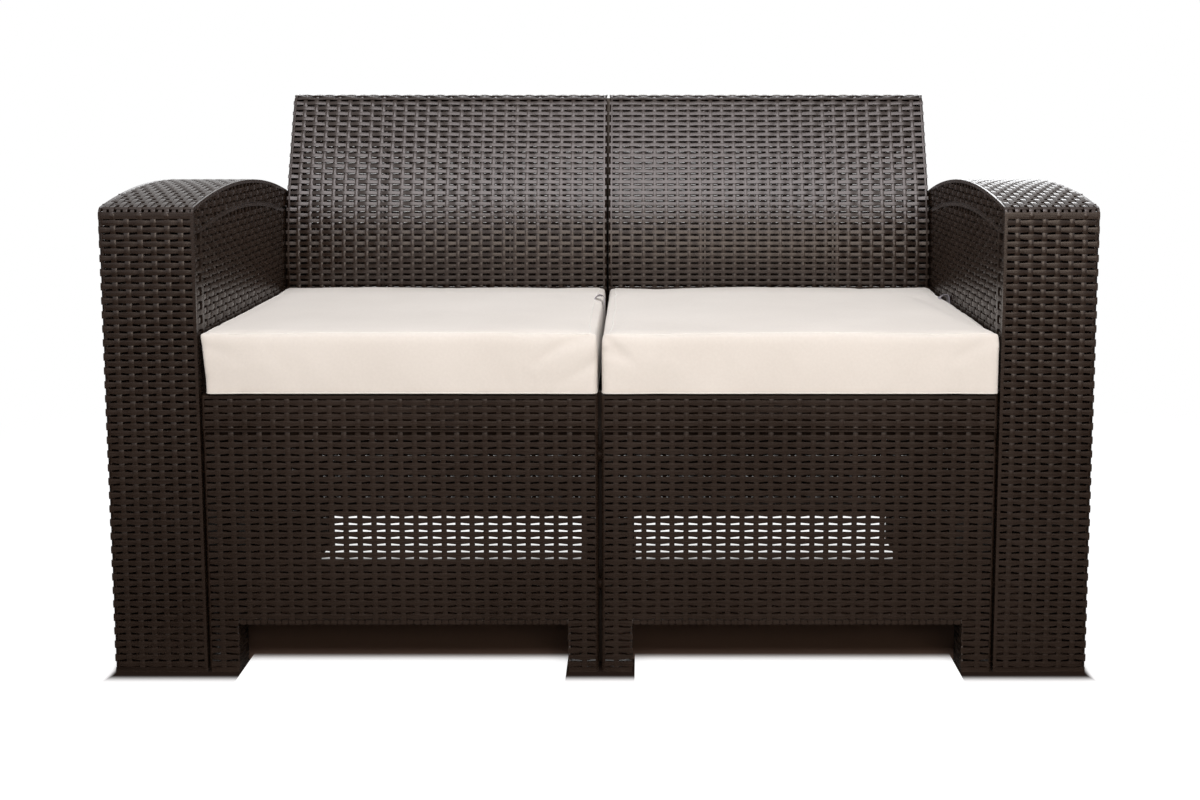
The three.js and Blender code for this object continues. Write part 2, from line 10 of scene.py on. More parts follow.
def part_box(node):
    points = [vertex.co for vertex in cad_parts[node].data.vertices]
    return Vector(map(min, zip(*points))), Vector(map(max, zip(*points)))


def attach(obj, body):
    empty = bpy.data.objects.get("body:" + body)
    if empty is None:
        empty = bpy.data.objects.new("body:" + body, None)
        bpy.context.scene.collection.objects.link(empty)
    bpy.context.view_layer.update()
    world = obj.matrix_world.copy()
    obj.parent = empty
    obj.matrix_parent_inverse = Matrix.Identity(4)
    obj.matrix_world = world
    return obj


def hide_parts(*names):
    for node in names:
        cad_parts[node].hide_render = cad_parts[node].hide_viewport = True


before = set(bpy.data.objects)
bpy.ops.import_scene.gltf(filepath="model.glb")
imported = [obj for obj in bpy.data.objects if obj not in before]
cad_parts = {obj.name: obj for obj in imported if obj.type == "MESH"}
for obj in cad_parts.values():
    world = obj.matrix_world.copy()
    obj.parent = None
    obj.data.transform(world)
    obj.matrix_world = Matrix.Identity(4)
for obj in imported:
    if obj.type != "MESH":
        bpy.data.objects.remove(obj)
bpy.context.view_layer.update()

# Two-seat garden sofa in moulded rattan-look resin, with two loose seat cushions.
# Metres, +Z up, front towards -Y, in the frame of the CAD model.

MM = 0.001
scene = bpy.context.scene

# Sizes of the woven mouldings
WALL = 4 * MM
ROW_PITCH = 9.5 * MM
FRONT_ROW_PITCH = 9.6 * MM
FIRST_ROW_HEIGHT = 11.3 * MM
MODULE_STAKES = 28
ARM_SIDE_STAKES = 33
ARM_FRONT_STAKES = 7
ARM_FRONT_ROWS = 65
ARM_TOP_ROWS = 13
ARM_TOP_PITCH = 9.2 * MM
SEAM_STRIP = 4 * MM
BOTTOM_STRIP = 7 * MM
CUT_DEPTH = WALL + 0.05 * MM
CURVED_CUT_DEPTH = WALL + 0.5 * MM
CUT_OVERRUN = 3 * MM
CUT_OVERLAP = 0.1 * MM
RECESS_DEPTH = 3 * MM
BEYOND_STRIP = 1 * MM
CORNER_STEP = 2.4 * MM
CORNER_PROUD = 0.4 * MM
SEAM_BEAD = 2.55 * MM
SEAM_CHAMFER = 3 * MM
SEAM_DEPTH = 32 * MM
REAR_STRAND_HEIGHT = 5.2 * MM
CLOSED_STRAND_HEIGHT = 5.3 * MM
SUNK_IN = 1 * MM
BEAD_GAP = 2 * MM
BEAD_REAR_GAP = 4 * MM
FRONT_TOP_EDGE = 2.5 * MM
RETURN_START = 0.5 * MM
RETURN_REAR_GAP = 2 * MM
APRON_LOW_EDGE = 1.8 * MM
APRON_TOP_EDGE = 4.5 * MM
APRON_ROW_LIFT = 0.9 * MM
REAR_CUTOUT_ROWS = 6
REAR_SILL = 0.3 * MM
SMALL_GAP = 0.3 * MM
BACK_LOW_EDGE = 6 * MM
BACK_CAP_LENGTH = 20 * MM
BACK_CAP_OVERLAP = 5 * MM
BACK_TAIL = 50 * MM

# Sizes of the frame's pieces that the boxes don't give
FOOT_WIDTH = 41 * MM
FOOT_CORNER = 2.5 * MM
COLUMN_DEPTH = 48 * MM
FRONT_CUTOUT = 67 * MM
FRONT_TOP = 338.5 * MM
APRON_BOTTOM = 340 * MM
TICK_BAND = 6.7 * MM
ARM_ARC_RADIUS = 1220 * MM
ARM_CROWN_SETBACK = 235 * MM
ARM_ROUNDING = 8 * MM
ARM_FRONT_STRIP = 30 * MM
ARM_REAR_STRIP = 50 * MM
ARM_TOP_STRIP = 35 * MM
ARM_RIM = 3 * MM
ARM_TOP_LEAD = 9.3 * MM
ARM_TOP_END = 6 * MM
ARM_SIDE_STRIP = 5 * MM
ARM_FRONT_INNER_STRIP = 4.2 * MM
ARM_STRIP_DEPTH = 20 * MM
ARM_STRIP_REAR_EDGE = 2.5 * MM
ARCH_MARGIN = 5 * MM
INNER_BORDER = 5 * MM
INNER_PLAY = 0.6 * MM
INNER_PLATE = 7.3 * MM
BACK_TOP_DEPTH = 49.2 * MM
BACK_BEND_SHARE = 0.4937
BACK_REACH_SHARE = 0.2115
BACK_ROUNDING = 14 * MM

# Places read from the frame
seat_low, seat_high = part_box("right_seat_panel")
arm_low, arm_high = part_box("right_arm_shell")
inner_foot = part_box("right_arm_inner_panel")[0].z
rear_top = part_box("right_rear_panel")[1].z
back_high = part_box("right_backrest")[1]
rear_y = back_high.y
sofa_top = back_high.z
front_y = seat_low.y
deck_top = seat_high.z
module_centre = (seat_low.x + seat_high.x) / 2
module_width = seat_high.x - seat_low.x
module_half = module_width / 2
cutout_half = module_half - FOOT_WIDTH
panel_edge = module_half - SEAM_STRIP
strand_start = SEAM_STRIP - BEYOND_STRIP
strand_end = module_width - SEAM_STRIP + BEYOND_STRIP
stake_pitch = module_width / MODULE_STAKES
arm_width = arm_high.x - arm_low.x
arm_depth = arm_high.y - arm_low.y
arm_front_pitch = arm_width / ARM_FRONT_STAKES
arm_side_pitch = arm_depth / ARM_SIDE_STAKES
crown_y = arm_low.y + ARM_CROWN_SETBACK
arc_centre_z = arm_high.z - ARM_ARC_RADIUS


# Camera, fitted to the photograph
CAMERA_PLACE = (0.0558, -2.2149, 0.7845)
CAMERA_PITCH = radians(6.035)
CAMERA_LENS = 43.18
CAMERA_SHIFT = (-0.0342, -0.125)


def make_camera():
    data = bpy.data.cameras.new("camera")
    data.lens = CAMERA_LENS
    data.sensor_width = 36
    data.shift_x, data.shift_y = CAMERA_SHIFT
    camera = bpy.data.objects.new("camera", data)
    camera.location = CAMERA_PLACE
    camera.rotation_euler = (pi / 2 - CAMERA_PITCH, 0, 0)
    scene.collection.objects.link(camera)
    scene.camera = camera


# Node trees

class Value:
    """A socket of a node tree, whose sums, products and the like are Math nodes."""

    def __init__(self, sheet, socket):
        self.sheet = sheet
        self.socket = socket

    def through(self, operation, *others):
        return self.sheet.math(operation, self, *others)

    def __add__(self, other):
        return self.through("ADD", other)

    def __sub__(self, other):
        return self.through("SUBTRACT", other)

    def __mul__(self, other):
        return self.through("MULTIPLY", other)

    def __truediv__(self, other):
        return self.through("DIVIDE", other)

    def __pow__(self, other):
        return self.through("POWER", other)

    def __lt__(self, other):
        return self.through("LESS_THAN", other)

    def __gt__(self, other):
        return self.through("GREATER_THAN", other)

    def __abs__(self):
        return self.through("ABSOLUTE")

    def __radd__(self, other):
        return self.sheet.math("ADD", other, self)

    def __rsub__(self, other):
        return self.sheet.math("SUBTRACT", other, self)

    def at_least(self, other):
        return self.through("MAXIMUM", other)

    def at_most(self, other):
        return self.through("MINIMUM", other)


class Sheet:
    """A node tree, with short ways to add a node and to join or set its sockets."""

    def __init__(self, tree):
        self.tree = tree

    def feed(self, socket, value):
        if isinstance(value, Value):
            self.tree.links.new(value.socket, socket)
        else:
            socket.default_value = value

    def node(self, kind, inputs=None, **settings):
        node = self.tree.nodes.new(kind)
        for name, value in settings.items():
            setattr(node, name, value)
        for name, value in (inputs or {}).items():
            self.feed(node.inputs[name], value)
        return node

    def made(self, kind, inputs=None, output=0, **settings):
        """One output of a new node."""
        return Value(self, self.node(kind, inputs, **settings).outputs[output])

    def math(self, operation, *values):
        return self.made("ShaderNodeMath", dict(enumerate(values)), operation=operation)

    def vector(self, operation, *vectors, **scale):
        inputs = {**dict(enumerate(vectors)), **scale}
        return self.made("ShaderNodeVectorMath", inputs, operation=operation)

    def split(self, vector):
        return [Value(self, part) for part in self.node("ShaderNodeSeparateXYZ", {0: vector}).outputs]

    def combine(self, *parts):
        return self.made("ShaderNodeCombineXYZ", dict(enumerate(parts)))

    def switch(self, condition, if_false, if_true):
        inputs = {"Switch": condition, "False": if_false, "True": if_true}
        return self.made("GeometryNodeSwitch", inputs, input_type="FLOAT")

    def declare(self, direction, sockets):
        for name, (kind, default) in sockets.items():
            socket = self.tree.interface.new_socket(name, in_out=direction, socket_type="NodeSocket" + kind)
            if default is not None:
                socket.default_value = default

    def given(self):
        """The values that come into the tree, by their names."""
        return {socket.name: Value(self, socket) for socket in self.node("NodeGroupInput").outputs}


def geometry_tree(name, inputs):
    sheet = Sheet(bpy.data.node_groups.new(name, "GeometryNodeTree"))
    sheet.declare("INPUT", {"Geometry": ("Geometry", None), **inputs})
    sheet.declare("OUTPUT", {"Geometry": ("Geometry", None)})
    return sheet, sheet.given()


def finish_geometry_tree(sheet, geometry, material):
    smooth = sheet.made("GeometryNodeSetShadeSmooth", {"Geometry": geometry})
    real = sheet.made("GeometryNodeRealizeInstances", {"Geometry": smooth})
    painted = sheet.made("GeometryNodeSetMaterial", {"Geometry": real, "Material": material})
    sheet.feed(sheet.node("NodeGroupOutput").inputs[0], painted)
    return sheet.tree


# The weave: strands wave over and under upright stakes, a stake out of step from row to row. Both are
# drawn flat, as (along the strand, across it, outwards), and then laid on the profile of a panel.
LENGTHS = {
    "Stake Pitch": stake_pitch,
    "Row Pitch": ROW_PITCH,
    "Row Origin": FIRST_ROW_HEIGHT,
    "Strand Start": 0.0,
    "Strand End": 0.1,
    "Stake Start": 0.0,
    "Stake End": 0.1,
    "Depth": -2.4 * MM,
    "Stake Depth": -3.5 * MM,
    "Parity": 0.0,
    "Start Wave": 0.0,
    "End Wave": 0.0,
    "Strand Wave": 1.3 * MM,
    "Strand Height": 3.7 * MM,
    "Strand Swell": 0.55 * MM,
    "Strand Thickness": 1.6 * MM,
    "Stake Wave": 0.6 * MM,
    "Stake Half Width": 4.1 * MM,
    "Stake Thickness": 3.0 * MM,
    "Inner Arch Radius": 0.0,
    "Arch Radius": 100.0,
    "Arch Centre Along": 0.0,
    "Arch Centre Up": 0.0,
    "Unevenness": 0.35 * MM,
    "Seed": 1.0,
}
WEAVE_INPUTS = {
    "Strands Follow Profile": ("Bool", False),
    "First Row": ("Int", 0),
    "Rows": ("Int", 1),
    "First Stake": ("Int", 1),
    "Stakes": ("Int", 1),
    "Material": ("Material", None),
    **{name: ("Float", length) for name, length in LENGTHS.items()},
}
TUBE_SIDES = 6
STRAND_CREASE = 50
FLATNESS = 0.2
SPACING = 10.0
STRAND_STEPS = 4
STAKE_STEPS = 2
MERGE_DISTANCE = 0.01 * MM
UNEVEN_SCALE = 55.0
ARCH_CLEARANCE = 0.1 * MM


def arch_reach(radius, offset):
    """How far an arch reaches either way from its centre, at an offset from that centre."""
    return (radius**2.0 - offset**2.0).at_least(0.0).through("SQRT")


def swing_at(given, along, number):
    """1 where a strand passes over the stake at a place, -1 where it passes under."""
    turn = along / given["Stake Pitch"] + number + given["Parity"]
    return (turn * pi).through("COSINE")


def drawn_in(given, end, number, wave):
    """How far a strand's end stops short where it passes under a corner."""
    return (0.5 - swing_at(given, end, number) * 0.5) * wave


def strand_limits(sheet, given, number, height):
    """Where a row's strand starts and ends, inside an arch and beside an inner arch."""
    offset = height - given["Arch Centre Up"]
    outer = arch_reach(given["Arch Radius"], offset)
    inner = arch_reach(given["Inner Arch Radius"], offset)
    centre = given["Arch Centre Along"]
    start, end = given["Strand Start"], given["Strand End"]
    low = (start + drawn_in(given, start, number, given["Start Wave"])).at_least(centre - outer)
    high = (end - drawn_in(given, end, number, given["End Wave"])).at_most(centre + outer)
    before = centre < start + ARCH_CLEARANCE
    after = centre > end - ARCH_CLEARANCE
    beside_low = low.at_least(centre + inner)
    beside_high = high.at_most(centre - inner)
    return sheet.switch(before, low, beside_low), sheet.switch(after, high, beside_high)


def copies_of_tube(sheet, count, first_step, last_step):
    """Unit tubes side by side, SPACING apart, a ring at every step, and the step at their middle."""
    steps = last_step - first_step
    sizes = {"Vertices": TUBE_SIDES, "Side Segments": steps, "Radius": 1.0, "Depth": steps}
    tube = sheet.made("GeometryNodeMeshCylinder", sizes, fill_type="NGON")
    line = sheet.made("GeometryNodeMeshLine", {"Count": count, "Offset": (0, SPACING, 0)}, mode="OFFSET")
    copies = sheet.made("GeometryNodeInstanceOnPoints", {"Points": line, "Instance": tube})
    return sheet.made("GeometryNodeRealizeInstances", {"Geometry": copies}), steps * 0.5 + first_step


def numbered(position):
    """A tube's number among the tubes side by side, and the place across its own section."""
    number = (position / SPACING + 0.5).through("FLOOR")
    return number, position - number * SPACING


def unevenness(sheet, given, along, across):
    place = sheet.combine(along, across, given["Seed"])
    grain = sheet.made("ShaderNodeTexNoise", {"Vector": place, "Scale": UNEVEN_SCALE, "Detail": 1.0})
    return (grain - 0.5) * given["Unevenness"]


def flattened(value):
    """Takes a round section's height to one with a broad, nearly flat front and back."""
    return value.through("SIGN") * abs(value) ** FLATNESS


def strands_field(sheet, given, position):
    step = given["Stake Pitch"] / STRAND_STEPS
    first = (given["Strand Start"] / step).through("FLOOR")
    last = (given["Strand End"] / step).through("CEIL")
    tubes, middle = copies_of_tube(sheet, given["Rows"], first, last)
    row, section = numbered(position[1])
    number = row + given["First Row"]
    height = given["Row Origin"] + number * given["Row Pitch"]
    low, high = strand_limits(sheet, given, number, height)
    along = ((position[2] + middle) * step).at_most(high).at_least(low)
    swing = swing_at(given, along, number)
    across = height + (given["Strand Height"] + given["Strand Swell"] * swing) * section
    outwards = given["Depth"] + given["Strand Wave"] * swing
    outwards = outwards + given["Strand Thickness"] * flattened(position[0]) * -1.0
    return placed(sheet, tubes, along, across, outwards + unevenness(sheet, given, along, height))


def stakes_field(sheet, given, position):
    origin = given["Row Origin"]
    step = given["Row Pitch"] / STAKE_STEPS
    first = ((given["Stake Start"] - origin) / step).through("FLOOR")
    last = ((given["Stake End"] - origin) / step).through("CEIL")
    tubes, middle = copies_of_tube(sheet, given["Stakes"], first, last)
    column, section = numbered(position[1])
    centre = (column + given["First Stake"]) * given["Stake Pitch"]
    offset = centre - given["Arch Centre Along"]
    inner = given["Arch Centre Up"] + arch_reach(given["Inner Arch Radius"], offset)
    outer = given["Arch Centre Up"] + arch_reach(given["Arch Radius"], offset)
    low = given["Stake Start"].at_least(inner)
    high = given["Stake End"].at_most(outer)
    across = (origin + (position[2] + middle) * step).at_most(high).at_least(low)
    swing = swing_at(given, centre, (across - origin) / given["Row Pitch"])
    along = centre + given["Stake Half Width"] * section
    outwards = given["Stake Depth"] + given["Stake Wave"] * swing * -1.0
    return placed(sheet, tubes, along, across, outwards + given["Stake Thickness"] * position[0])


def placed(sheet, geometry, *place):
    target = sheet.combine(*place)
    spread = sheet.made("GeometryNodeSetPosition", {"Geometry": geometry, "Position": target})
    return sheet.made("GeometryNodeMergeByDistance", {"Geometry": spread, "Distance": MERGE_DISTANCE})


def laid_on_profile(sheet, given, geometry, position):
    """Bends the flat weave onto the profile, with its outer side on the profile's left-hand side."""
    follow = given["Strands Follow Profile"]
    along = sheet.switch(follow, position[1], position[0])
    sideways = sheet.switch(follow, position[0], position[1] * -1.0)
    curve = sheet.made("GeometryNodeMeshToCurve", {"Mesh": given["Geometry"]})
    sample = sheet.node("GeometryNodeSampleCurve", {"Curves": curve, "Length": along}, mode="LENGTH")
    place, tangent = (Value(sheet, sample.outputs[name]) for name in ("Position", "Tangent"))
    outer = sheet.vector("NORMALIZE", sheet.vector("CROSS_PRODUCT", (1, 0, 0), tangent))
    base = sheet.vector("ADD", place, sheet.combine(sideways, 0.0, 0.0))
    target = sheet.vector("ADD", base, sheet.vector("SCALE", outer, Scale=position[2]))
    return sheet.made("GeometryNodeSetPosition", {"Geometry": geometry, "Position": target})


def rattan_weave():
    sheet, given = geometry_tree("rattan_weave", WEAVE_INPUTS)
    position = sheet.split(sheet.made("GeometryNodeInputPosition"))
    both = sheet.node("GeometryNodeJoinGeometry")
    for field in (stakes_field, strands_field):
        sheet.feed(both.inputs[0], field(sheet, given, position))
    laid = laid_on_profile(sheet, given, Value(sheet, both.outputs[0]), position)
    return finish_geometry_tree(sheet, laid, given["Material"])


# Tabs: the turned-over strand ends along a cut edge, as rounded studs in a row.
TAB_INPUTS = {
    "Tabs": ("Int", 2),
    "Pitch": ("Float", stake_pitch / 2),
    "Width": ("Float", 8.4 * MM),
    "Height": ("Float", 6.2 * MM),
    "Thickness": ("Float", 2.4 * MM),
    "Material": ("Material", None),
}
TAB_ROUNDING = 0.3
TAB_CREASE = 20
TAB_SETBACK = 1.8 * MM


def edge_tabs():
    sheet, given = geometry_tree("edge_tabs", TAB_INPUTS)
    size = sheet.combine(given["Width"], given["Thickness"], given["Height"])
    block = sheet.made("GeometryNodeMeshCube", {"Size": size})
    soft = sheet.made("GeometryNodeSubdivideMesh", {"Mesh": block, "Level": 1})
    place = sheet.split(sheet.made("GeometryNodeInputPosition"))
    corner = abs(place[0] / given["Width"]).at_most(abs(place[2] / given["Height"]))
    rounding = 1.0 - corner * TAB_ROUNDING
    target = sheet.combine(*[part * rounding for part in place])
    rounded = sheet.made("GeometryNodeSetPosition", {"Geometry": soft, "Position": target})
    spacing = sheet.combine(given["Pitch"], 0.0, 0.0)
    line = sheet.made("GeometryNodeMeshLine", {"Count": given["Tabs"], "Offset": spacing}, mode="OFFSET")
    copies = sheet.made("GeometryNodeInstanceOnPoints", {"Points": line, "Instance": rounded})
    return finish_geometry_tree(sheet, copies, given["Material"])


def with_modifier(mesh, kind, prepare=None, **settings):
    """A plain mesh of a mesh with one modifier."""
    piece = bpy.data.objects.new("workpiece", mesh)
    scene.collection.objects.link(piece)
    modifier = piece.modifiers.new(kind.lower(), kind)
    for name, value in settings.items():
        setattr(modifier, name, value)
    if prepare:
        prepare(modifier)
    graph = bpy.context.evaluated_depsgraph_get()
    graph.update()
    result = bpy.data.meshes.new_from_object(piece.evaluated_get(graph), depsgraph=graph)
    bpy.data.objects.remove(piece)
    return result


def grown(tree, host_mesh, values):
    """The plain mesh that a Geometry Nodes tree makes on a host."""

    def set_inputs(modifier):
        for item in tree.interface.items_tree:
            if item.in_out == "INPUT" and item.name in values:
                modifier[item.identifier] = values[item.name]

    return with_modifier(host_mesh, "NODES", set_inputs, node_group=tree)


# Meshes

def new_mesh(name, points, edges=(), faces=()):
    mesh = bpy.data.meshes.new(name)
    mesh.from_pydata(points, edges, faces)
    return mesh


def polyline(points):
    edges = [(i, i + 1) for i in range(len(points) - 1)]
    return new_mesh("profile", [(0, y, z) for y, z in points], edges)


def box_mesh(x_range, y_range, z_range):
    corners = [(x, y, z) for x in x_range for y in y_range for z in z_range]
    faces = [(0, 1, 3, 2), (4, 6, 7, 5), (0, 4, 5, 1), (2, 3, 7, 6), (0, 2, 6, 4), (1, 5, 7, 3)]
    return new_mesh("box", corners, faces=faces)


def prism_mesh(outline, x_range):
    """A closed prism along X, from an outline of (y, z) points."""
    count = len(outline)
    points = [(x, y, z) for x in x_range for y, z in outline]
    faces = [tuple(range(count)), tuple(range(2 * count - 1, count - 1, -1))]
    for i in range(count):
        j = (i + 1) % count
        faces.append((j, i, count + i, count + j))
    mesh = new_mesh("prism", points, faces=faces)
    work = bmesh.new()
    work.from_mesh(mesh)
    bmesh.ops.recalc_face_normals(work, faces=work.faces)
    work.to_mesh(mesh)
    work.free()
    return mesh


def offset_path(path, distance):
    """A (y, z) path moved to its left by a distance."""
    moved = []
    for i, (y, z) in enumerate(path):
        y0, z0 = path[max(i - 1, 0)]
        y1, z1 = path[min(i + 1, len(path) - 1)]
        length = hypot(y1 - y0, z1 - z0)
        moved.append((y - distance * (z1 - z0) / length, z + distance * (y1 - y0) / length))
    return moved


def band(path, outwards, inwards, x_range):
    """The space along a path between an outer and an inner offset, as a prism."""
    return prism_mesh(offset_path(path, outwards) + offset_path(path, -inwards)[::-1], x_range)


def path_part(path, start, end, step=4 * MM):
    """The stretch of a path between two lengths along it."""
    lengths = [0]
    for (y0, z0), (y1, z1) in zip(path, path[1:]):
        lengths.append(lengths[-1] + hypot(y1 - y0, z1 - z0))
    count = max(2, int((end - start) / step))
    places = np.linspace(start, end, count)
    ys = np.interp(places, lengths, [p[0] for p in path])
    zs = np.interp(places, lengths, [p[1] for p in path])
    return list(zip(ys.tolist(), zs.tolist()))


def path_length(path):
    return sum(hypot(y1 - y0, z1 - z0) for (y0, z0), (y1, z1) in zip(path, path[1:]))


def node_mesh(name):
    """A copy of a CAD node's mesh with its vertices merged."""
    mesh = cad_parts[name].data.copy()
    work = bmesh.new()
    work.from_mesh(mesh)
    bmesh.ops.remove_doubles(work, verts=work.verts, dist=0.001 * MM)
    bmesh.ops.dissolve_limit(work, angle_limit=radians(0.5), verts=work.verts, edges=work.edges)
    bmesh.ops.triangulate(work, faces=work.faces)
    work.to_mesh(mesh)
    work.free()
    return mesh


def with_cuts(mesh, cutters):
    for cutter in cutters:
        tool = bpy.data.objects.new("tool", cutter)
        scene.collection.objects.link(tool)
        mesh = with_modifier(mesh, "BOOLEAN", operation="DIFFERENCE", solver="EXACT", object=tool)
        bpy.data.objects.remove(tool)
    return mesh


def moved(mesh, matrix, mirrored=False):
    copy = mesh.copy()
    copy.transform(matrix)
    if mirrored:
        copy.flip_normals()
    return copy


def shift(x=0.0, y=0.0, z=0.0):
    return Matrix.Translation((x, y, z))


MIRROR = Matrix.Diagonal((-1, 1, 1, 1))
FACE_RIGHT = Matrix.Rotation(pi / 2, 4, "Z")
FACE_LEFT = Matrix.Rotation(-pi / 2, 4, "Z")
FACE_REAR = Matrix.Rotation(pi, 4, "Z")


def crisp(mesh, angle=35):
    """Smooth faces, with creases where they meet at more than an angle."""
    mesh.shade_smooth()
    mesh.set_sharp_from_angle(angle=radians(angle))
    return mesh


def make_piece(name, meshes, material, body="root", replaces=()):
    """One finished object from some meshes, riding on a body."""
    work = bmesh.new()
    for mesh in meshes:
        work.from_mesh(mesh)
    for face in work.faces:
        face.material_index = 0
    joined = bpy.data.meshes.new(name)
    work.to_mesh(joined)
    work.free()
    joined.materials.clear()
    joined.materials.append(material)
    piece = bpy.data.objects.new(name, joined)
    scene.collection.objects.link(piece)
    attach(piece, body)
    if replaces:
        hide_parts(*replaces)
    return piece


# Materials

def shader_group(name, inputs, outputs):
    sheet = Sheet(bpy.data.node_groups.new(name, "ShaderNodeTree"))
    sheet.declare("INPUT", inputs)
    sheet.declare("OUTPUT", {output: ("Float", None) for output in outputs})
    return sheet, sheet.given(), sheet.node("NodeGroupOutput").inputs


def mottle_group():
    """Broad and fine variation of a finish, as two values around 0.5."""
    inputs = {"Vector": ("Vector", None), "Broad Scale": ("Float", 6.0), "Fine Scale": ("Float", 400.0)}
    sheet, given, results = shader_group("mottle", inputs, ["Broad", "Fine"])
    for name, detail in (("Broad", 3.0), ("Fine", 4.0)):
        inputs = {"Vector": given["Vector"], "Scale": given[name + " Scale"], "Detail": detail}
        sheet.feed(results[name], sheet.made("ShaderNodeTexNoise", inputs))
    return sheet.tree


def cloth_weave_group():
    """A plain weave of threads, as a height, on two crossing directions of the object's axes."""
    inputs = {"Vector": ("Vector", None), "Threads": ("Float", 1 / THREAD_PITCH)}
    sheet, given, results = shader_group("plain_weave", inputs, ["Height"])
    x, y, z = sheet.split(given["Vector"])
    turn = given["Threads"] * pi
    warp = (x * turn).through("SINE")
    weft = ((y + z) * turn).through("SINE")
    sheet.feed(results["Height"], 0.5 + warp * weft * 0.5)
    return sheet.tree


def ramp(sheet, factor, stops):
    node = sheet.node("ShaderNodeValToRGB", {"Fac": factor})
    elements = node.color_ramp.elements
    while len(elements) < len(stops):
        elements.new(0.5)
    for element, (place, colour) in zip(elements, stops):
        element.position = place
        element.color = (*colour, 1)
    return Value(sheet, node.outputs["Color"])


def new_material(name, broad_scale, fine_scale):
    """A material, its sheet, the place on the object, and the mottle's two values there."""
    material = bpy.data.materials.new(name)
    material.use_nodes = True
    sheet = Sheet(material.node_tree)
    place = sheet.made("ShaderNodeTexCoord", output="Object")
    inputs = {"Vector": place, "Broad Scale": broad_scale, "Fine Scale": fine_scale}
    mottle = sheet.node("ShaderNodeGroup", inputs, node_tree=mottle_tree).outputs
    return material, sheet, place, Value(sheet, mottle["Broad"]), Value(sheet, mottle["Fine"])


def finished(material, sheet, colour, rough, relief, strength, depth, plain=()):
    """Gives a material its colour, roughness and relief, and values that are the same all over."""
    shader = material.node_tree.nodes["Principled BSDF"].inputs
    bump = sheet.made("ShaderNodeBump", {"Height": relief, "Strength": strength, "Distance": depth})
    inputs = {"Base Color": colour, "Roughness": rough, "Normal": bump, **dict(plain)}
    for name, value in inputs.items():
        sheet.feed(shader[name], value)
    return material


# The resin's colours, dark to pale: the palest, reached on the crests, is partly wear and partly a painted
# highlight
RESIN_DARK = (0.0084, 0.0044, 0.0027)
RESIN_MIDDLE = (0.0148, 0.0080, 0.0048)
RESIN_WORN_AND_HIGHLIT = (0.0320, 0.0210, 0.0155)
RESIN_SHEEN = {"Specular IOR Level": 0.5, "Specular Tint": (1.0, 0.95, 0.95, 1)}
RESIN_ROUGHNESS = 0.29
STREAK_SCALE = (45.0, 45.0, 900.0)
NYLON_COLOURS = [(0.3, (0.014, 0.011, 0.010)), (0.7, (0.026, 0.021, 0.019))]
FOAM_COLOURS = [(0.1, (0.55, 0.47, 0.30)), (0.5, (0.84, 0.77, 0.57))]
METAL_COLOURS = [(0.3, (0.38, 0.38, 0.39)), (0.7, (0.58, 0.58, 0.59))]
THREAD_PITCH = 1.1 * MM
CLOTH_SHEEN = {"Sheen Weight": 0.15, "Sheen Roughness": 0.5}
# Each cloth's darker and paler colour, and its roughness
CLOTHS = {
    "cushion_cloth": ((0.68, 0.63, 0.575), (0.75, 0.70, 0.645), 0.82),
    # The welt's cloth is the cover's cloth drawn paler, a painted highlight along the seams
    "highlit_welt_cloth": ((0.72, 0.69, 0.64), (0.81, 0.78, 0.73), 0.78),
    "zip_tape": ((0.60, 0.56, 0.50), (0.70, 0.66, 0.60), 0.7),
    "satin_ribbon": ((0.27, 0.25, 0.29), (0.36, 0.34, 0.38), 0.35),
}


def resin_material():
    """Satin brown polypropylene: streaks along the strands, paler and smoother on the crests, and darker in
    the hollows. The paler crests are partly wear and partly a painted highlight; the darker hollows are
    painted shade.
    """
    material, sheet, place, broad, fine = new_material("moulded_resin", 5.0, 700.0)
    stretched = sheet.made("ShaderNodeMapping", {"Vector": place, "Scale": STREAK_SCALE})
    streaks = sheet.made("ShaderNodeTexNoise", {"Vector": stretched, "Scale": 1.0, "Detail": 3.0})
    streak = streaks - 0.5
    crest = sheet.made("ShaderNodeNewGeometry", output="Pointiness") - 0.5
    # Painted highlight and shade: Pointiness draws convex crests paler, partly as wear and partly as a
    # painted highlight, and hollows darker, as painted shade
    tone = (broad - 0.5) * 0.5 + streak * 0.45 + crest * 2.2 + 0.5
    colour = ramp(sheet, tone, [(0.15, RESIN_DARK), (0.5, RESIN_MIDDLE), (0.95, RESIN_WORN_AND_HIGHLIT)])
    rough = RESIN_ROUGHNESS + streak * 0.16 - crest * 0.35
    relief = streaks * 0.7 + fine * 0.3
    return finished(material, sheet, colour, rough, relief, 0.35, 0.25 * MM, RESIN_SHEEN)


def nylon_material():
    """Nylon fasteners: a shade darker than the sofa, with a finer matt grain."""
    material, sheet, place, broad, fine = new_material("moulded_nylon", 90.0, 1500.0)
    colour = ramp(sheet, broad, NYLON_COLOURS)
    return finished(material, sheet, colour, 0.46 + fine * 0.16, fine, 0.3, 0.1 * MM)


def cloth_material(name, darker, paler, rough):
    """Undyed polyester cloth with slubs and a fine plain weave."""
    material, sheet, place, broad, fine = new_material(name, 7.0, 260.0)
    colour = ramp(sheet, broad * 0.6 + fine * 0.4, [(0.3, darker), (0.7, paler)])
    threads = sheet.made("ShaderNodeGroup", {"Vector": place}, node_tree=cloth_tree)
    relief = threads * 0.4 + fine * 0.8
    return finished(material, sheet, colour, rough + fine * 0.1, relief, 0.4, 0.25 * MM, CLOTH_SHEEN)


def foam_material():
    """Cut polyurethane foam, with open pores."""
    material, sheet, place, broad, fine = new_material("cut_foam", 12.0, 900.0)
    pores = sheet.made("ShaderNodeTexVoronoi", {"Vector": place, "Scale": 650.0}, output="Distance")
    colour = ramp(sheet, pores, FOAM_COLOURS)
    return finished(material, sheet, colour, 0.85 + broad * 0.1, pores + fine * 0.4, 0.8, 0.6 * MM)


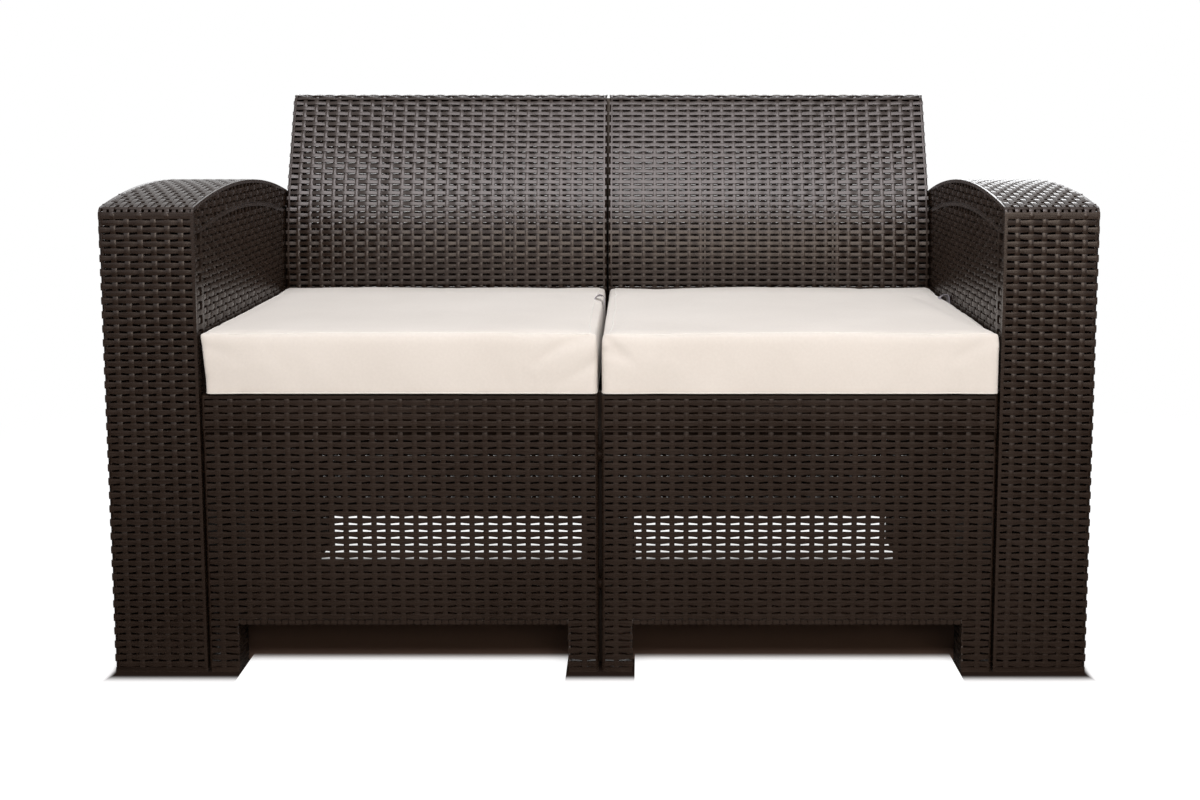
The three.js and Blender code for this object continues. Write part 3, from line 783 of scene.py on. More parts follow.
def metal_material():
    """Nickel-plated zip fittings with light brushing and dulled patches."""
    material, sheet, place, broad, fine = new_material("zip_metal", 120.0, 2600.0)
    colour = ramp(sheet, broad, METAL_COLOURS)
    return finished(material, sheet, colour, 0.24 + fine * 0.2, fine, 0.15, 0.05 * MM, {"Metallic": 1.0})


# Woven panels. A window is cut in the plain wall of the CAD piece, and the weave fills it.
FRONT_WEAVE = {
    "row_pitch": FRONT_ROW_PITCH,
    "stake_wave": 0.35 * MM,
    "strand_wave": 1.0 * MM,
    "strand_height": 3.8 * MM,
}
RIDGE_WEAVE = {"depth": -0.5 * MM, "strand_wave": 0.5 * MM, "strand_thickness": 1.2 * MM}
APRON_WEAVE = {
    "strand_height": 3.9 * MM,
    "strand_swell": 0.3 * MM,
    "strand_wave": 0.8 * MM,
    "strand_thickness": 1.7 * MM,
    "stake_wave": 0.4 * MM,
    "stake_depth": -3.4 * MM,
}
BACK_WEAVE = {
    "depth": -1.8 * MM,
    "strand_height": 3.2 * MM,
    "strand_swell": 0.15 * MM,
    "strand_wave": 0.9 * MM,
    "strand_thickness": 1.0 * MM,
    "stake_wave": 0.35 * MM,
    "stake_depth": -3.9 * MM,
    "start_wave": CORNER_STEP,
    "end_wave": CORNER_STEP,
}
PLAIN_STRAND = {
    "depth": -1.6 * MM,
    "strand_height": 5.1 * MM,
    "strand_swell": 0,
    "strand_wave": 0,
    "strand_thickness": 1.5 * MM,
    "stake_wave": 1.5 * MM,
    "stake_depth": -2.9 * MM,
}
ARM_TOP_WEAVE = {"strand_height": 3.15 * MM, "strand_swell": 0.6 * MM, "strands_follow_profile": True}


def row_height(row):
    return FIRST_ROW_HEIGHT + row * ROW_PITCH


def rows_between(low, high, origin, pitch):
    """The first row and the number of rows whose whole strand lies between two heights."""
    first = int(np.ceil((low + pitch / 2 - origin) / pitch - 0.06))
    last = int(np.floor((high - pitch / 2 - origin) / pitch + 0.06))
    return first, last - first + 1


def weave(
    profile, start, end, low, high, stake_pitch, stakes,
    row_pitch=ROW_PITCH, row_origin=FIRST_ROW_HEIGHT, **more,
):
    """A woven field between two places along its strands and two along its stakes."""
    first_row, rows = rows_between(low, high, row_origin, row_pitch)
    values = {
        "Stake Pitch": stake_pitch,
        "Row Pitch": row_pitch,
        "Row Origin": row_origin,
        "First Row": first_row,
        "Rows": rows,
        "Strand Start": start,
        "Strand End": end,
        "First Stake": stakes[0],
        "Stakes": stakes[1] - stakes[0] + 1,
        "Stake Start": low,
        "Stake End": high,
        "Material": resin,
    }
    values.update({name.replace("_", " ").title(): value for name, value in more.items()})
    return crisp(grown(weave_tree, polyline(profile), values), STRAND_CREASE)


def stakes_between(start, end, pitch):
    return int(np.ceil(start / pitch + 0.2)), int(np.floor(end / pitch - 0.2))


def upright(y):
    """A straight profile from the floor up, facing -Y at a given y."""
    return [(y, 0.0), (y, sofa_top)]


def module_pieces(name, meshes):
    """The same moulding in the left and the right module."""
    for side, sign in (("left", -1), ("right", 1)):
        copies = [moved(mesh, shift(sign * module_centre)) for mesh in meshes]
        make_piece(f"{side}_{name}_woven", copies, resin, replaces=[f"{side}_{name}"])


def module_shell(name, cutters):
    """The CAD piece at the module's own centre, with its windows cut out."""
    mesh = moved(node_mesh("right_" + name), shift(-module_centre))
    return crisp(with_cuts(mesh, cutters))


def module_weave(profile, start, end, low, high, turn=None, **more):
    """A weave in module coordinates, whose strands start at the module's left edge."""
    stakes = stakes_between(start, end, stake_pitch)
    mesh = weave(profile, start, end, low, high, stake_pitch, stakes, **more)
    mesh.transform(shift(-module_half))
    if turn:
        mesh.transform(turn)
    return mesh


def panel_fields(upper_low, upper_high, foot_end):
    """A panel's woven fields: its whole width over the cut-out, and the two feet beside it."""
    return [
        (strand_start, strand_end, upper_low, upper_high),
        (strand_start, foot_end, BOTTOM_STRIP, upper_low),
        (module_width - foot_end, strand_end, BOTTOM_STRIP, upper_low),
    ]


def foot_window(sign, depth, high):
    span = sorted((sign * panel_edge, sign * (cutout_half + FOOT_CORNER)))
    return box_mesh(span, depth, (BOTTOM_STRIP, high))


def corner_cutter(sign, low, high):
    """A square bar on its edge, which chamfers a module's upright front corner."""
    half = SEAM_CHAMFER / sqrt(2)
    bar = box_mesh((-half, half), (-half, half), (low, high))
    bar.transform(shift(sign * module_half, front_y) @ Matrix.Rotation(pi / 4, 4, "Z"))
    return bar


def side_beads(near, far, low, high):
    """Upright beads on both sides of a moulding, which close the seams to its neighbours."""
    beads = []
    for sign in (-1, 1):
        span = sorted((sign * (module_half - 1 * MM), sign * (module_half + SEAM_BEAD)))
        beads.append(box_mesh(span, (near, far), (low, high)))
    return beads


def build_front_panel():
    upper_low = FRONT_CUTOUT + TICK_BAND
    upper_high = FRONT_TOP - FRONT_TOP_EDGE
    foot_high = upper_low + CUT_OVERLAP
    depth = (front_y - CUT_OVERRUN, front_y + CUT_DEPTH)
    recess = (front_y - CUT_OVERRUN, front_y + RECESS_DEPTH)
    cutters = [box_mesh((-panel_edge, panel_edge), depth, (upper_low, upper_high))]
    cutters.append(box_mesh((-cutout_half, cutout_half), recess, (FRONT_CUTOUT - SUNK_IN, foot_high)))
    for sign in (-1, 1):
        post = sorted((sign * (cutout_half + FOOT_CORNER), sign * (cutout_half - SUNK_IN)))
        cutters.append(foot_window(sign, depth, foot_high))
        cutters.append(box_mesh(post, recess, (BOTTOM_STRIP, foot_high)))
        cutters.append(corner_cutter(sign, -SUNK_IN, FRONT_TOP + SUNK_IN))
    meshes = [module_shell("front_panel", cutters)]
    for field in panel_fields(upper_low, upper_high, FOOT_WIDTH + SMALL_GAP):
        meshes.append(module_weave(upright(front_y), *field, **FRONT_WEAVE))
    meshes += return_ridges() + [tab_row()]
    meshes += side_beads(front_y + SEAM_DEPTH, front_y + COLUMN_DEPTH - BEAD_REAR_GAP, BEAD_GAP, FRONT_TOP)
    module_pieces("front_panel", meshes)


def return_ridges():
    """Strands that wrap onto the inner sides of the two feet, half sunk in the solid wall."""
    ridges = weave(
        upright(-cutout_half), RETURN_START, COLUMN_DEPTH - RETURN_REAR_GAP, BOTTOM_STRIP, FRONT_CUTOUT,
        stake_pitch, (0, -1), **RIDGE_WEAVE,
    )
    faced(ridges, FACE_RIGHT, -2 * cutout_half, front_y)
    return [ridges, moved(ridges, MIRROR, mirrored=True)]


def faced(mesh, turn, x=0.0, y=0.0):
    """A field turned to the side that it shows on, and brought to its place."""
    mesh.transform(turn)
    mesh.transform(shift(x, y))
    return mesh


def tab_row():
    """The tabs over the cut-out between the feet."""
    count = int(2 * cutout_half / (stake_pitch / 2))
    tabs = crisp(grown(tab_tree, polyline([(0, 0), (0, 1)]), {"Tabs": count, "Material": resin}), TAB_CREASE)
    start = -(count - 1) * stake_pitch / 4
    tabs.transform(shift(start, front_y + TAB_SETBACK, FRONT_CUTOUT + TICK_BAND / 2))
    return tabs


def build_seat_panel():
    low, high = APRON_BOTTOM + APRON_LOW_EDGE, deck_top - APRON_TOP_EDGE
    depth = (front_y - CUT_OVERRUN, front_y + CUT_DEPTH)
    cutters = [box_mesh((-panel_edge, panel_edge), depth, (low, high))]
    cutters += [corner_cutter(sign, APRON_BOTTOM - SUNK_IN, deck_top + SUNK_IN) for sign in (-1, 1)]
    meshes = [module_shell("seat_panel", cutters)]
    bead_rear = front_y + COLUMN_DEPTH - BEAD_REAR_GAP
    meshes += side_beads(front_y + SEAM_DEPTH, bead_rear, FRONT_TOP + SMALL_GAP, deck_top - SUNK_IN)
    origin = low + ROW_PITCH / 2 + APRON_ROW_LIFT
    field = (upright(front_y), strand_start, strand_end, low, high)
    meshes.append(module_weave(*field, row_origin=origin, **APRON_WEAVE))
    module_pieces("seat_panel", meshes)


def back_profile():
    """The backrest's face from the floor's height up, over its top edge and on to the rear."""
    face_y = min(vertex.co.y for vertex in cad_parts["right_backrest"].data.vertices)
    rise = sofa_top - deck_top
    bend = deck_top + BACK_BEND_SHARE * rise
    reach = BACK_REACH_SHARE * rise
    top_y = rear_y - BACK_TOP_DEPTH
    recline = atan2(top_y - face_y, sofa_top - bend)
    radius = reach / tan(recline / 2)
    start_z = bend - reach
    points = [(face_y, 0.0), (face_y, start_z)]
    steps = 16
    for i in range(1, steps + 1):
        angle = recline * i / steps
        points.append((face_y + radius * (1 - cos(angle)), start_z + radius * sin(angle)))
    shoulder = (top_y - BACK_ROUNDING * sin(recline), sofa_top - BACK_ROUNDING * cos(recline))
    points += bend_points(shoulder, (top_y, sofa_top), (top_y + BACK_ROUNDING, sofa_top), 8)
    points.append((rear_y, sofa_top))
    return points


def bend_points(start, corner, end, steps):
    """A quadratic bend round a corner, its two ends included."""
    result = []
    for i in range(steps + 1):
        t = i / steps
        result.append(
            tuple((1 - t) ** 2 * a + 2 * t * (1 - t) * b + t * t * c for a, b, c in zip(start, corner, end))
        )
    return result


rear_bead = (rear_y - COLUMN_DEPTH / 3, rear_y - BEAD_GAP)


def build_backrest():
    edge = panel_edge - SUNK_IN
    path = back_profile()
    length = path_length(path)
    low = deck_top + BACK_LOW_EDGE
    path.append((rear_y + BACK_TAIL, sofa_top))
    cap_start = length - BACK_CAP_LENGTH
    cap = path_part(path, cap_start - BACK_CAP_OVERLAP, length + BACK_CAP_OVERLAP)
    whole = (-module_half - CUT_OVERRUN, module_half + CUT_OVERRUN)
    cutters = [band(path_part(path, low, cap_start), CUT_OVERRUN, CURVED_CUT_DEPTH, (-edge, edge))]
    cutters.append(band(cap, CUT_OVERRUN, CORNER_STEP, whole))
    for sign in (-1, 1):
        side = sorted((sign * (module_half - CORNER_STEP), sign * (module_half + CUT_OVERRUN)))
        cutters.append(band(path_part(path, low, length), CUT_OVERRUN, CORNER_STEP, side))
    meshes = [module_shell("backrest", cutters)]
    meshes.append(
        module_weave(path, -CORNER_PROUD, module_width + CORNER_PROUD, low, length, **BACK_WEAVE)
    )
    meshes += side_beads(*rear_bead, rear_top - BEAD_GAP, sofa_top - BACK_LOW_EDGE)
    module_pieces("backrest", meshes)


def build_rear_panel():
    upper_low = row_height(REAR_CUTOUT_ROWS) - ROW_PITCH / 2
    last_row = int((rear_top - SEAM_STRIP - FIRST_ROW_HEIGHT) / ROW_PITCH)
    upper_high = row_height(last_row) + REAR_STRAND_HEIGHT / 2 - REAR_SILL
    depth = (rear_y - CUT_DEPTH, rear_y + CUT_OVERRUN)
    cutters = [box_mesh((-panel_edge, panel_edge), depth, (upper_low, upper_high))]
    cutters += [foot_window(sign, depth, upper_low + CUT_OVERLAP) for sign in (-1, 1)]
    meshes = [module_shell("rear_panel", cutters)]
    for field in panel_fields(upper_low, rear_top - SEAM_STRIP, FOOT_WIDTH - FOOT_CORNER + BEYOND_STRIP):
        more = {"turn": FACE_REAR, "strand_height": REAR_STRAND_HEIGHT}
        meshes.append(module_weave(upright(-rear_y), *field, **more))
    meshes += side_beads(*rear_bead, BEAD_GAP, rear_top - BEAD_GAP)
    module_pieces("rear_panel", meshes)


# Arms, built on the right and mirrored to the left

def arc_height(y, drop=0.0):
    return arc_centre_z + sqrt((ARM_ARC_RADIUS - drop) ** 2 - (y - crown_y) ** 2)


def arch_outline(y0, y1, low, drop, steps=24):
    """The space under the arm's arch, as (y, z) points."""
    ys = np.linspace(y1, y0, steps).tolist()
    return [(y0, low), (y1, low)] + [(y, arc_height(y, drop)) for y in ys]


def arm_top_path():
    """Up the last of the front face, round its top edge and along the arch to the rear."""
    corner_y = arm_low.y + ARM_ROUNDING
    corner = (arm_low.y, arc_height(arm_low.y))
    start = (arm_low.y, corner[1] - ARM_ROUNDING)
    path = [(arm_low.y, arm_front_top - ARM_TOP_LEAD)]
    path += bend_points(start, corner, (corner_y, arc_height(corner_y)), 6)
    path += [(y, arc_height(y)) for y in np.linspace(corner_y, arm_high.y, 60).tolist()[1:]]
    return path


arm_front_top = row_height(ARM_FRONT_ROWS) + ROW_PITCH / 2
arm_rear_top = arc_height(arm_high.y) - ARCH_MARGIN


def under_arch(drop, centre_along):
    """A weave's inputs that end it just over a line under the arm's arch."""
    radius = ARM_ARC_RADIUS - drop + BEYOND_STRIP
    return {"arch_radius": radius, "arch_centre_along": centre_along, "arch_centre_up": arc_centre_z}


def both_arms(name, meshes, replaces=None):
    """A piece on the right arm and its mirror image on the left."""
    for side in ("right", "left"):
        copies = meshes if side == "right" else [moved(mesh, MIRROR, mirrored=True) for mesh in meshes]
        nodes = [f"{side}_{replaces}"] if replaces else []
        make_piece(f"{side}_{name}", copies, resin, replaces=nodes)


def arm_windows():
    """What is cut out of the arm shell for its weave, and for the strands round its outer corners."""
    outer = (arm_high.x - CUT_DEPTH, arm_high.x + CUT_OVERRUN)
    inner = (arm_low.x - CUT_OVERRUN, arm_low.x + CUT_DEPTH)
    y0, y1 = arm_low.y + ARM_SIDE_STRIP, arm_high.y - ARM_SIDE_STRIP
    front_x = (arm_low.x + ARM_FRONT_INNER_STRIP, arm_high.x - ARM_RIM)
    front_depth = (arm_low.y - CUT_OVERRUN, arm_low.y + CUT_DEPTH)
    rear_depth = (arm_high.y - CUT_DEPTH, arm_high.y + CUT_OVERRUN)
    cutters = [prism_mesh(arch_outline(y0, y1, BOTTOM_STRIP, ARCH_MARGIN), outer)]
    cutters.append(box_mesh(front_x, front_depth, (BOTTOM_STRIP, arm_front_top)))
    cutters.append(box_mesh(front_x, rear_depth, (BOTTOM_STRIP, arm_rear_top)))
    notch_x = (arm_high.x - CORNER_STEP, arm_high.x + CUT_OVERRUN)
    for y, sign in ((arm_low.y, 1), (arm_high.y, -1)):
        notch_y = sorted((y - sign * CUT_OVERRUN, y + sign * CORNER_STEP))
        cutters.append(box_mesh(notch_x, notch_y, (BOTTOM_STRIP, arm_rear_top)))
    path = arm_top_path()
    top_x = (arm_low.x + ARM_RIM, arm_high.x - ARM_RIM)
    top = path_part(path, ARM_TOP_LEAD, path_length(path) - ARM_TOP_END)
    cutters.append(band(top, CUT_OVERRUN, CURVED_CUT_DEPTH, top_x))
    cutters.append(arch_band(inner, y0, y1))
    cutters.append(box_mesh(inner, strip_y, (strip_low, strip_top)))
    return cutters


strip_y = (arm_low.y + ARM_FRONT_INNER_STRIP, arm_low.y + ARM_FRONT_STRIP - ARM_STRIP_REAR_EDGE)
strip_low = deck_top - ARM_STRIP_DEPTH
strip_top = arc_height(arm_low.y) - ARM_TOP_STRIP


def inner_strip():
    """The weave on the strip in front of the inner panel."""
    start = arm_high.y - strip_y[1] - BEYOND_STRIP
    end = arm_high.y - strip_y[0] + BEYOND_STRIP
    pitch = (ARM_FRONT_STRIP - INNER_PLAY) / 2
    stakes = stakes_between(start, end, pitch)
    return weave(upright(arm_low.x), start, end, strip_low, strip_top, pitch, stakes)


def inner_arch_bands():
    """The weave under the arch, over the inner panel: one field before the crown and one behind it."""
    crown = arm_high.y - crown_y
    arch = under_arch(ARCH_MARGIN, crown)
    arch["inner_arch_radius"] = ARM_ARC_RADIUS - ARM_TOP_STRIP + BEYOND_STRIP
    bands = []
    for near, far in ((ARM_SIDE_STRIP, crown), (crown, arm_depth - ARM_SIDE_STRIP)):
        field = (upright(arm_low.x), near, far, strip_top, arm_high.z - ARCH_MARGIN, arm_side_pitch)
        bands.append(weave(*field, stakes_between(near, far, arm_side_pitch), **arch))
    return bands


def build_arm_frame():
    """The arm shell's edges and ribs, left when the woven windows are cut out of it."""
    meshes = [crisp(with_cuts(node_mesh("right_arm_shell"), arm_windows()))]
    for mesh in [inner_strip()] + inner_arch_bands():
        meshes.append(faced(mesh, FACE_LEFT, y=arm_high.y))
    both_arms("arm_shell_frame", meshes, replaces="arm_shell")


def arch_band(depth, y0, y1):
    """The space of the woven band under the arch, over the inner panel."""
    ys = np.linspace(y0, y1, 40).tolist()
    outline = [(y, arc_height(y, ARM_TOP_STRIP - 1 * MM)) for y in ys]
    outline += [(y, arc_height(y, ARCH_MARGIN)) for y in ys[::-1]]
    return prism_mesh(outline, depth)


def build_arm_side():
    """The woven outer side."""
    start, end = -CORNER_PROUD, arm_depth + CORNER_PROUD
    mesh = weave(
        upright(-arm_high.x), start, end, BOTTOM_STRIP, arm_high.z - ARCH_MARGIN, arm_side_pitch,
        stakes_between(start, end, arm_side_pitch), parity=1, start_wave=CORNER_STEP,
        end_wave=CORNER_STEP, strand_height=CLOSED_STRAND_HEIGHT,
        **under_arch(ARCH_MARGIN, ARM_CROWN_SETBACK),
    )
    both_arms("arm_side_weave", [faced(mesh, FACE_RIGHT, y=arm_low.y)])


def arm_top():
    """The weave from the front's top edge over the arch, with its strands running front to rear."""
    path = arm_top_path()
    length = path_length(path) - ARM_TOP_END
    steps = round(length / arm_side_pitch)
    start, end = ARM_RIM - BEYOND_STRIP, arm_width - ARM_RIM + BEYOND_STRIP
    margin = (arm_width - (ARM_TOP_ROWS - 1) * ARM_TOP_PITCH) / 2
    return weave(
        path, ARM_TOP_LEAD, length + BEYOND_STRIP, start, end, length / steps, (1, steps - 1),
        row_pitch=ARM_TOP_PITCH, row_origin=margin, **ARM_TOP_WEAVE,
    )


def build_arm_edges():
    """The woven front, top and rear of the arm."""
    inner_end = ARM_FRONT_INNER_STRIP - BEYOND_STRIP
    outer_end = arm_width - ARM_RIM + BEYOND_STRIP
    stakes = (1, ARM_FRONT_STAKES - 1)
    plain_low = row_height(ARM_FRONT_ROWS) - ROW_PITCH / 2
    front = weave(
        upright(arm_low.y), inner_end, arm_width + CORNER_PROUD, BOTTOM_STRIP, plain_low,
        arm_front_pitch, stakes, end_wave=CORNER_STEP,
    )
    plain = weave(
        upright(arm_low.y), inner_end, outer_end, plain_low, arm_front_top, arm_front_pitch, stakes,
        **PLAIN_STRAND,
    )
    rear = weave(
        upright(-arm_high.y), -CORNER_PROUD, arm_width - inner_end, BOTTOM_STRIP, arm_rear_top,
        arm_front_pitch, stakes, parity=1, start_wave=CORNER_STEP, strand_height=CLOSED_STRAND_HEIGHT,
    )
    top = arm_top()
    for mesh, place in ((front, arm_low.x), (plain, arm_low.x), (top, arm_high.x)):
        mesh.transform(shift(place))
    faced(rear, FACE_REAR, arm_high.x)
    both_arms("arm_edge_weave", [front, plain, rear, top])


def build_inner_panel():
    """The woven panel that closes the arm towards the seat."""
    drop = ARM_TOP_STRIP + INNER_PLAY + INNER_BORDER
    low = inner_foot + INNER_BORDER
    y0 = arm_low.y + ARM_FRONT_STRIP + INNER_PLAY + INNER_BORDER
    y1 = arm_high.y - ARM_REAR_STRIP - INNER_PLAY - INNER_BORDER
    depth = (arm_low.x - CUT_OVERRUN, arm_low.x + INNER_PLATE + 0.05 * MM)
    window = prism_mesh(arch_outline(y0, y1, low, drop), depth)
    mesh = crisp(with_cuts(node_mesh("right_arm_inner_panel"), [window]))
    start, end = arm_high.y - y1 - BEYOND_STRIP, arm_high.y - y0 + BEYOND_STRIP
    field = weave(
        upright(arm_low.x), start, end, low, arm_high.z - drop, arm_side_pitch,
        stakes_between(start, end, arm_side_pitch), **under_arch(drop, arm_high.y - crown_y),
    )
    meshes = [mesh, faced(field, FACE_LEFT, y=arm_high.y)]
    both_arms("arm_inner_panel_woven", meshes, replaces="arm_inner_panel")


# Cushions
CUSHION_VOXEL = 6 * MM
CUSHION_START_INSET = Vector((1.2, 2.5, 1.5)) * MM
TOP_EDGE = 5 * MM
CUSHION_MOVE_CAP = 16 * MM
CLOTH_SETTINGS = {
    "quality": 5,
    "mass": 0.3,
    "use_pressure": True,
    "uniform_pressure_force": 4.0,
    "shrink_min": -0.02,
}
SIMULATED_FRAMES = 20
SUNK_SHARES = (0.05, 0.12, 0.45)
BULGE_SHARES = (0.25, 0.35, 0.8)
CROWN_RISE = 3 * MM
FRONT_LIFT = 2.4 * MM
LEFT_LEAN = 9 * MM
EAR_REACH = 5 * MM
FOLD_NEARNESS = 14 * MM
FOLD_FADE = 0.7
REAR_WITHOUT_FOLDS = 0.02
WELT_STEPS = 360
WELT_SIDES = 6
WELT_AIM_DEPTH = 22 * MM
WELT_AIM_REACH = 60 * MM
HEM_RISE = 4.2 * MM
HEM_RADIUS = 0.9 * MM
TOP_SEAM_DROP = 8 * MM
TOP_SEAM_RADIUS = 0.8 * MM
FOAM_INSET = 6 * MM
LABEL_THICKNESS = 0.9 * MM
LABEL_RISE = 9 * MM
LABEL_REAR_SHARE = 0.35


def cushion_seed_mesh(low, high):
    """A block with soft upper edges and eased other ones, a little smaller than the cushion."""
    mesh = bpy.data.meshes.new("cushion_seed")
    work = bmesh.new()
    bmesh.ops.create_cube(work, size=1.0)
    size = high - low - CUSHION_START_INSET * 2
    centre = (low + high) / 2
    place = Matrix.Translation(centre) @ Matrix.Diagonal((*size, 1))
    bmesh.ops.transform(work, matrix=place, verts=work.verts)
    upper = [edge for edge in work.edges if all(vertex.co.z > centre.z for vertex in edge.verts)]
    bmesh.ops.bevel(work, geom=upper, offset=TOP_EDGE, segments=4, affect="EDGES", profile=0.5)
    work.to_mesh(mesh)
    work.free()
    return mesh


def inflated(mesh):
    """The mesh blown up a little by a cloth simulation."""

    def simulate(cloth):
        for name, value in CLOTH_SETTINGS.items():
            setattr(cloth.settings, name, value)
        cloth.settings.effector_weights.gravity = 0
        cloth.point_cache.frame_start = 1
        cloth.point_cache.frame_end = SIMULATED_FRAMES
        for number in range(1, SIMULATED_FRAMES + 1):
            scene.frame_set(number)

    result = with_modifier(mesh, "CLOTH", simulate)
    scene.frame_set(1)
    return result


def vertex_array(mesh):
    places = np.empty(len(mesh.vertices) * 3)
    mesh.vertices.foreach_get("co", places)
    return places.reshape(-1, 3)


def set_vertices(mesh, places):
    mesh.vertices.foreach_set("co", places.ravel())
    mesh.update()


def held_by_foam(change, start, low, high):
    """The foam keeps the cover from sinking in at its sides, and the seat from bulging out there."""
    centre = np.array((low + high) / 2)
    inward = np.sign(start - centre) * change < 0
    return np.where(inward, change * np.array(SUNK_SHARES), change * np.array(BULGE_SHARES))


def soft_limit(values, limit, softness):
    """Values that flatten out as they near an upper limit."""
    over = np.maximum(values - (limit - softness), 0)
    return np.where(over > 0, limit - softness + softness * (1 - np.exp(-over / softness)), values)


# Folds in the cloth: the face they lie on, the side they start from, a line of (across, along) places,
# depth and half width. Across runs inwards from that side; along runs down the front, or back over the top.
LEFT_FOLDS = [
    ("top", "right", [(0.006, 0.290), (0.012, 0.120), (0.026, 0.012)], 3.2 * MM, 8 * MM),
    ("front", "right", [(0.012, 0.004), (0.050, 0.016), (0.084, 0.040)], 5.0 * MM, 7 * MM),
    ("front", "right", [(0.004, 0.040), (0.026, 0.052), (0.060, 0.072)], 2.6 * MM, 7 * MM),
    ("front", "left", [(0.004, 0.016), (0.030, 0.022), (0.060, 0.040)], 2.0 * MM, 8 * MM),
    ("front", "left", [(0.003, 0.058), (0.016, 0.066)], 2.6 * MM, 5 * MM),
]
RIGHT_FOLDS = [
    ("front", "left", [(0.002, 0.002), (0.014, 0.014), (0.034, 0.030)], 5.5 * MM, 5.5 * MM),
    ("front", "left", [(0.003, 0.024), (0.020, 0.029), (0.044, 0.040)], 3.6 * MM, 5.5 * MM),
    ("front", "right", [(0.004, 0.006), (0.026, 0.014), (0.060, 0.034)], 2.8 * MM, 8 * MM),
    ("top", "right", [(0.045, 0.360), (0.030, 0.200), (0.012, 0.020)], 3.0 * MM, 10 * MM),
    ("top", "left", [(0.010, 0.330), (0.018, 0.120), (0.008, 0.020)], 2.0 * MM, 8 * MM),
]


def distance_to_line(across, along, line):
    """How far places lie from a line of points, and how far along it, as a share."""
    nearest = np.full(len(across), 1.0)
    share = np.zeros(len(across))
    pieces = len(line) - 1
    for number, ((x0, y0), (x1, y1)) in enumerate(zip(line, line[1:])):
        length = (x1 - x0) ** 2 + (y1 - y0) ** 2
        t = np.clip(((across - x0) * (x1 - x0) + (along - y0) * (y1 - y0)) / length, 0, 1)
        distance = np.hypot(across - x0 - t * (x1 - x0), along - y0 - t * (y1 - y0))
        closer = distance < nearest
        nearest = np.where(closer, distance, nearest)
        share = np.where(closer, (number + t) / pieces, share)
    return nearest, share


def add_folds(places, low, high, folds):
    """Presses the folds into the front and the top, each fading out towards its end."""
    near_front = np.clip(1 - (places[:, 1] - low.y) / FOLD_NEARNESS, 0, 1)
    near_top = np.clip(1 - (high.z - places[:, 2]) / FOLD_NEARNESS, 0, 1)
    rear_end = high.y - REAR_WITHOUT_FOLDS * np.array(high - low)[1]
    for face, side, line, depth, width in folds:
        across = high.x - places[:, 0] if side == "right" else places[:, 0] - low.x
        along = high.z - places[:, 2] if face == "front" else places[:, 1] - low.y
        distance, share = distance_to_line(across, along, line)
        push = depth * np.exp(-((distance / width) ** 2)) * (1 - FOLD_FADE * share)
        if face == "front":
            places[:, 1] += push * np.clip(2 * near_front, 0, 1)
        else:
            places[:, 2] -= push * np.clip(2 * near_top, 0, 1) * (places[:, 1] < rear_end)


def shape_cushion(places, low, high, seed):
    """Lays the blown-up form in its seat: flat underneath, crowned, creased at its corners and slack."""
    centre = np.array((low + high) / 2)
    half = np.array((high - low) / 2)
    u, v, w = ((places - centre) / half).T
    top = np.clip(w, 0, 1)
    places[:, 2] += CROWN_RISE * top * (1 - np.clip(u * u, 0, 1)) * (1 - np.clip(v * v, 0, 1))
    limits = [(0, 1, high.x, 1.5 * MM), (0, -1, -low.x, 1.5 * MM)]
    limits += [(1, 1, high.y - 1.6 * MM, 2 * MM), (1, -1, -low.y, 3 * MM)]
    limits += [(2, 1, high.z + 2 * MM, 6 * MM), (2, -1, -low.z, 0.5 * MM)]
    for axis, sign, limit, softness in limits:
        places[:, axis] = sign * soft_limit(sign * places[:, axis], limit, softness)
    under = np.clip((-0.55 - w) / 0.25, 0, 1)
    floor = low.z + 0.3 * MM + FRONT_LIFT * np.clip((-v - 0.86) / 0.08, 0, 1)
    places[:, 2] += under * (floor - places[:, 2])
    front = np.clip((-v - 0.9) / 0.08, 0, 1)
    above = np.clip((w - 0.55) / 0.35, 0, 1)
    slack = np.array([noise.noise(Vector((x * 6, y * 6, z * 6 + seed * 3.1))) for x, y, z in places])
    waves = np.array([noise.noise(Vector((x * 17, y * 17, z * 11 - seed * 5.3))) for x, y, z in places])
    if seed == 1:
        lean = np.clip(-u, 0, 1) ** 12 * (1 - np.clip(v + 1, 0, 1))
        places[:, 0] += LEFT_LEAN * lean * np.clip((1 - w) / 2, 0, 1) ** 0.7
    places[:, 1] += front * (1.0 * MM * (0.5 + slack) + 0.6 * MM * waves)
    add_folds(places, low, high, LEFT_FOLDS if seed == 1 else RIGHT_FOLDS)
    places[:, 2] += above * (2.2 * MM * slack + 0.7 * MM * waves)
    ahead = np.clip((front_y - places[:, 1]) / (6 * MM), 0, 1)
    ear = np.clip(w, 0, 1) ** 2 + 0.5 * np.clip(-w, 0, 1) ** 6
    places[:, 0] += np.sign(u) * EAR_REACH * ahead * np.clip(np.abs(u), 0, 1) ** 30 * ear
    return places


def welt(surface, low, high, lift, tilt, radius):
    """A sewn welt round the cushion: a thin closed tube that follows the surface at one height."""
    centre = (low + high) / 2
    half = (high - low) / 2
    height = low.z + lift
    path = []
    for i in range(WELT_STEPS):
        angle = 2 * pi * i / WELT_STEPS
        reach = 1 / max(abs(cos(angle)) / half.x, abs(sin(angle)) / half.y)
        direction = Vector((cos(angle), sin(angle), 0))
        inner = Vector((centre.x, centre.y, height)) + direction * (reach - WELT_AIM_DEPTH)
        origin = inner + (direction + Vector((0, 0, tilt))) * WELT_AIM_REACH
        aim = (inner - origin).normalized()
        hit = surface.ray_cast(origin, aim)
        path.append(hit[0] if hit[0] is not None else inner)
    return closed_tube(path, radius, WELT_SIDES)


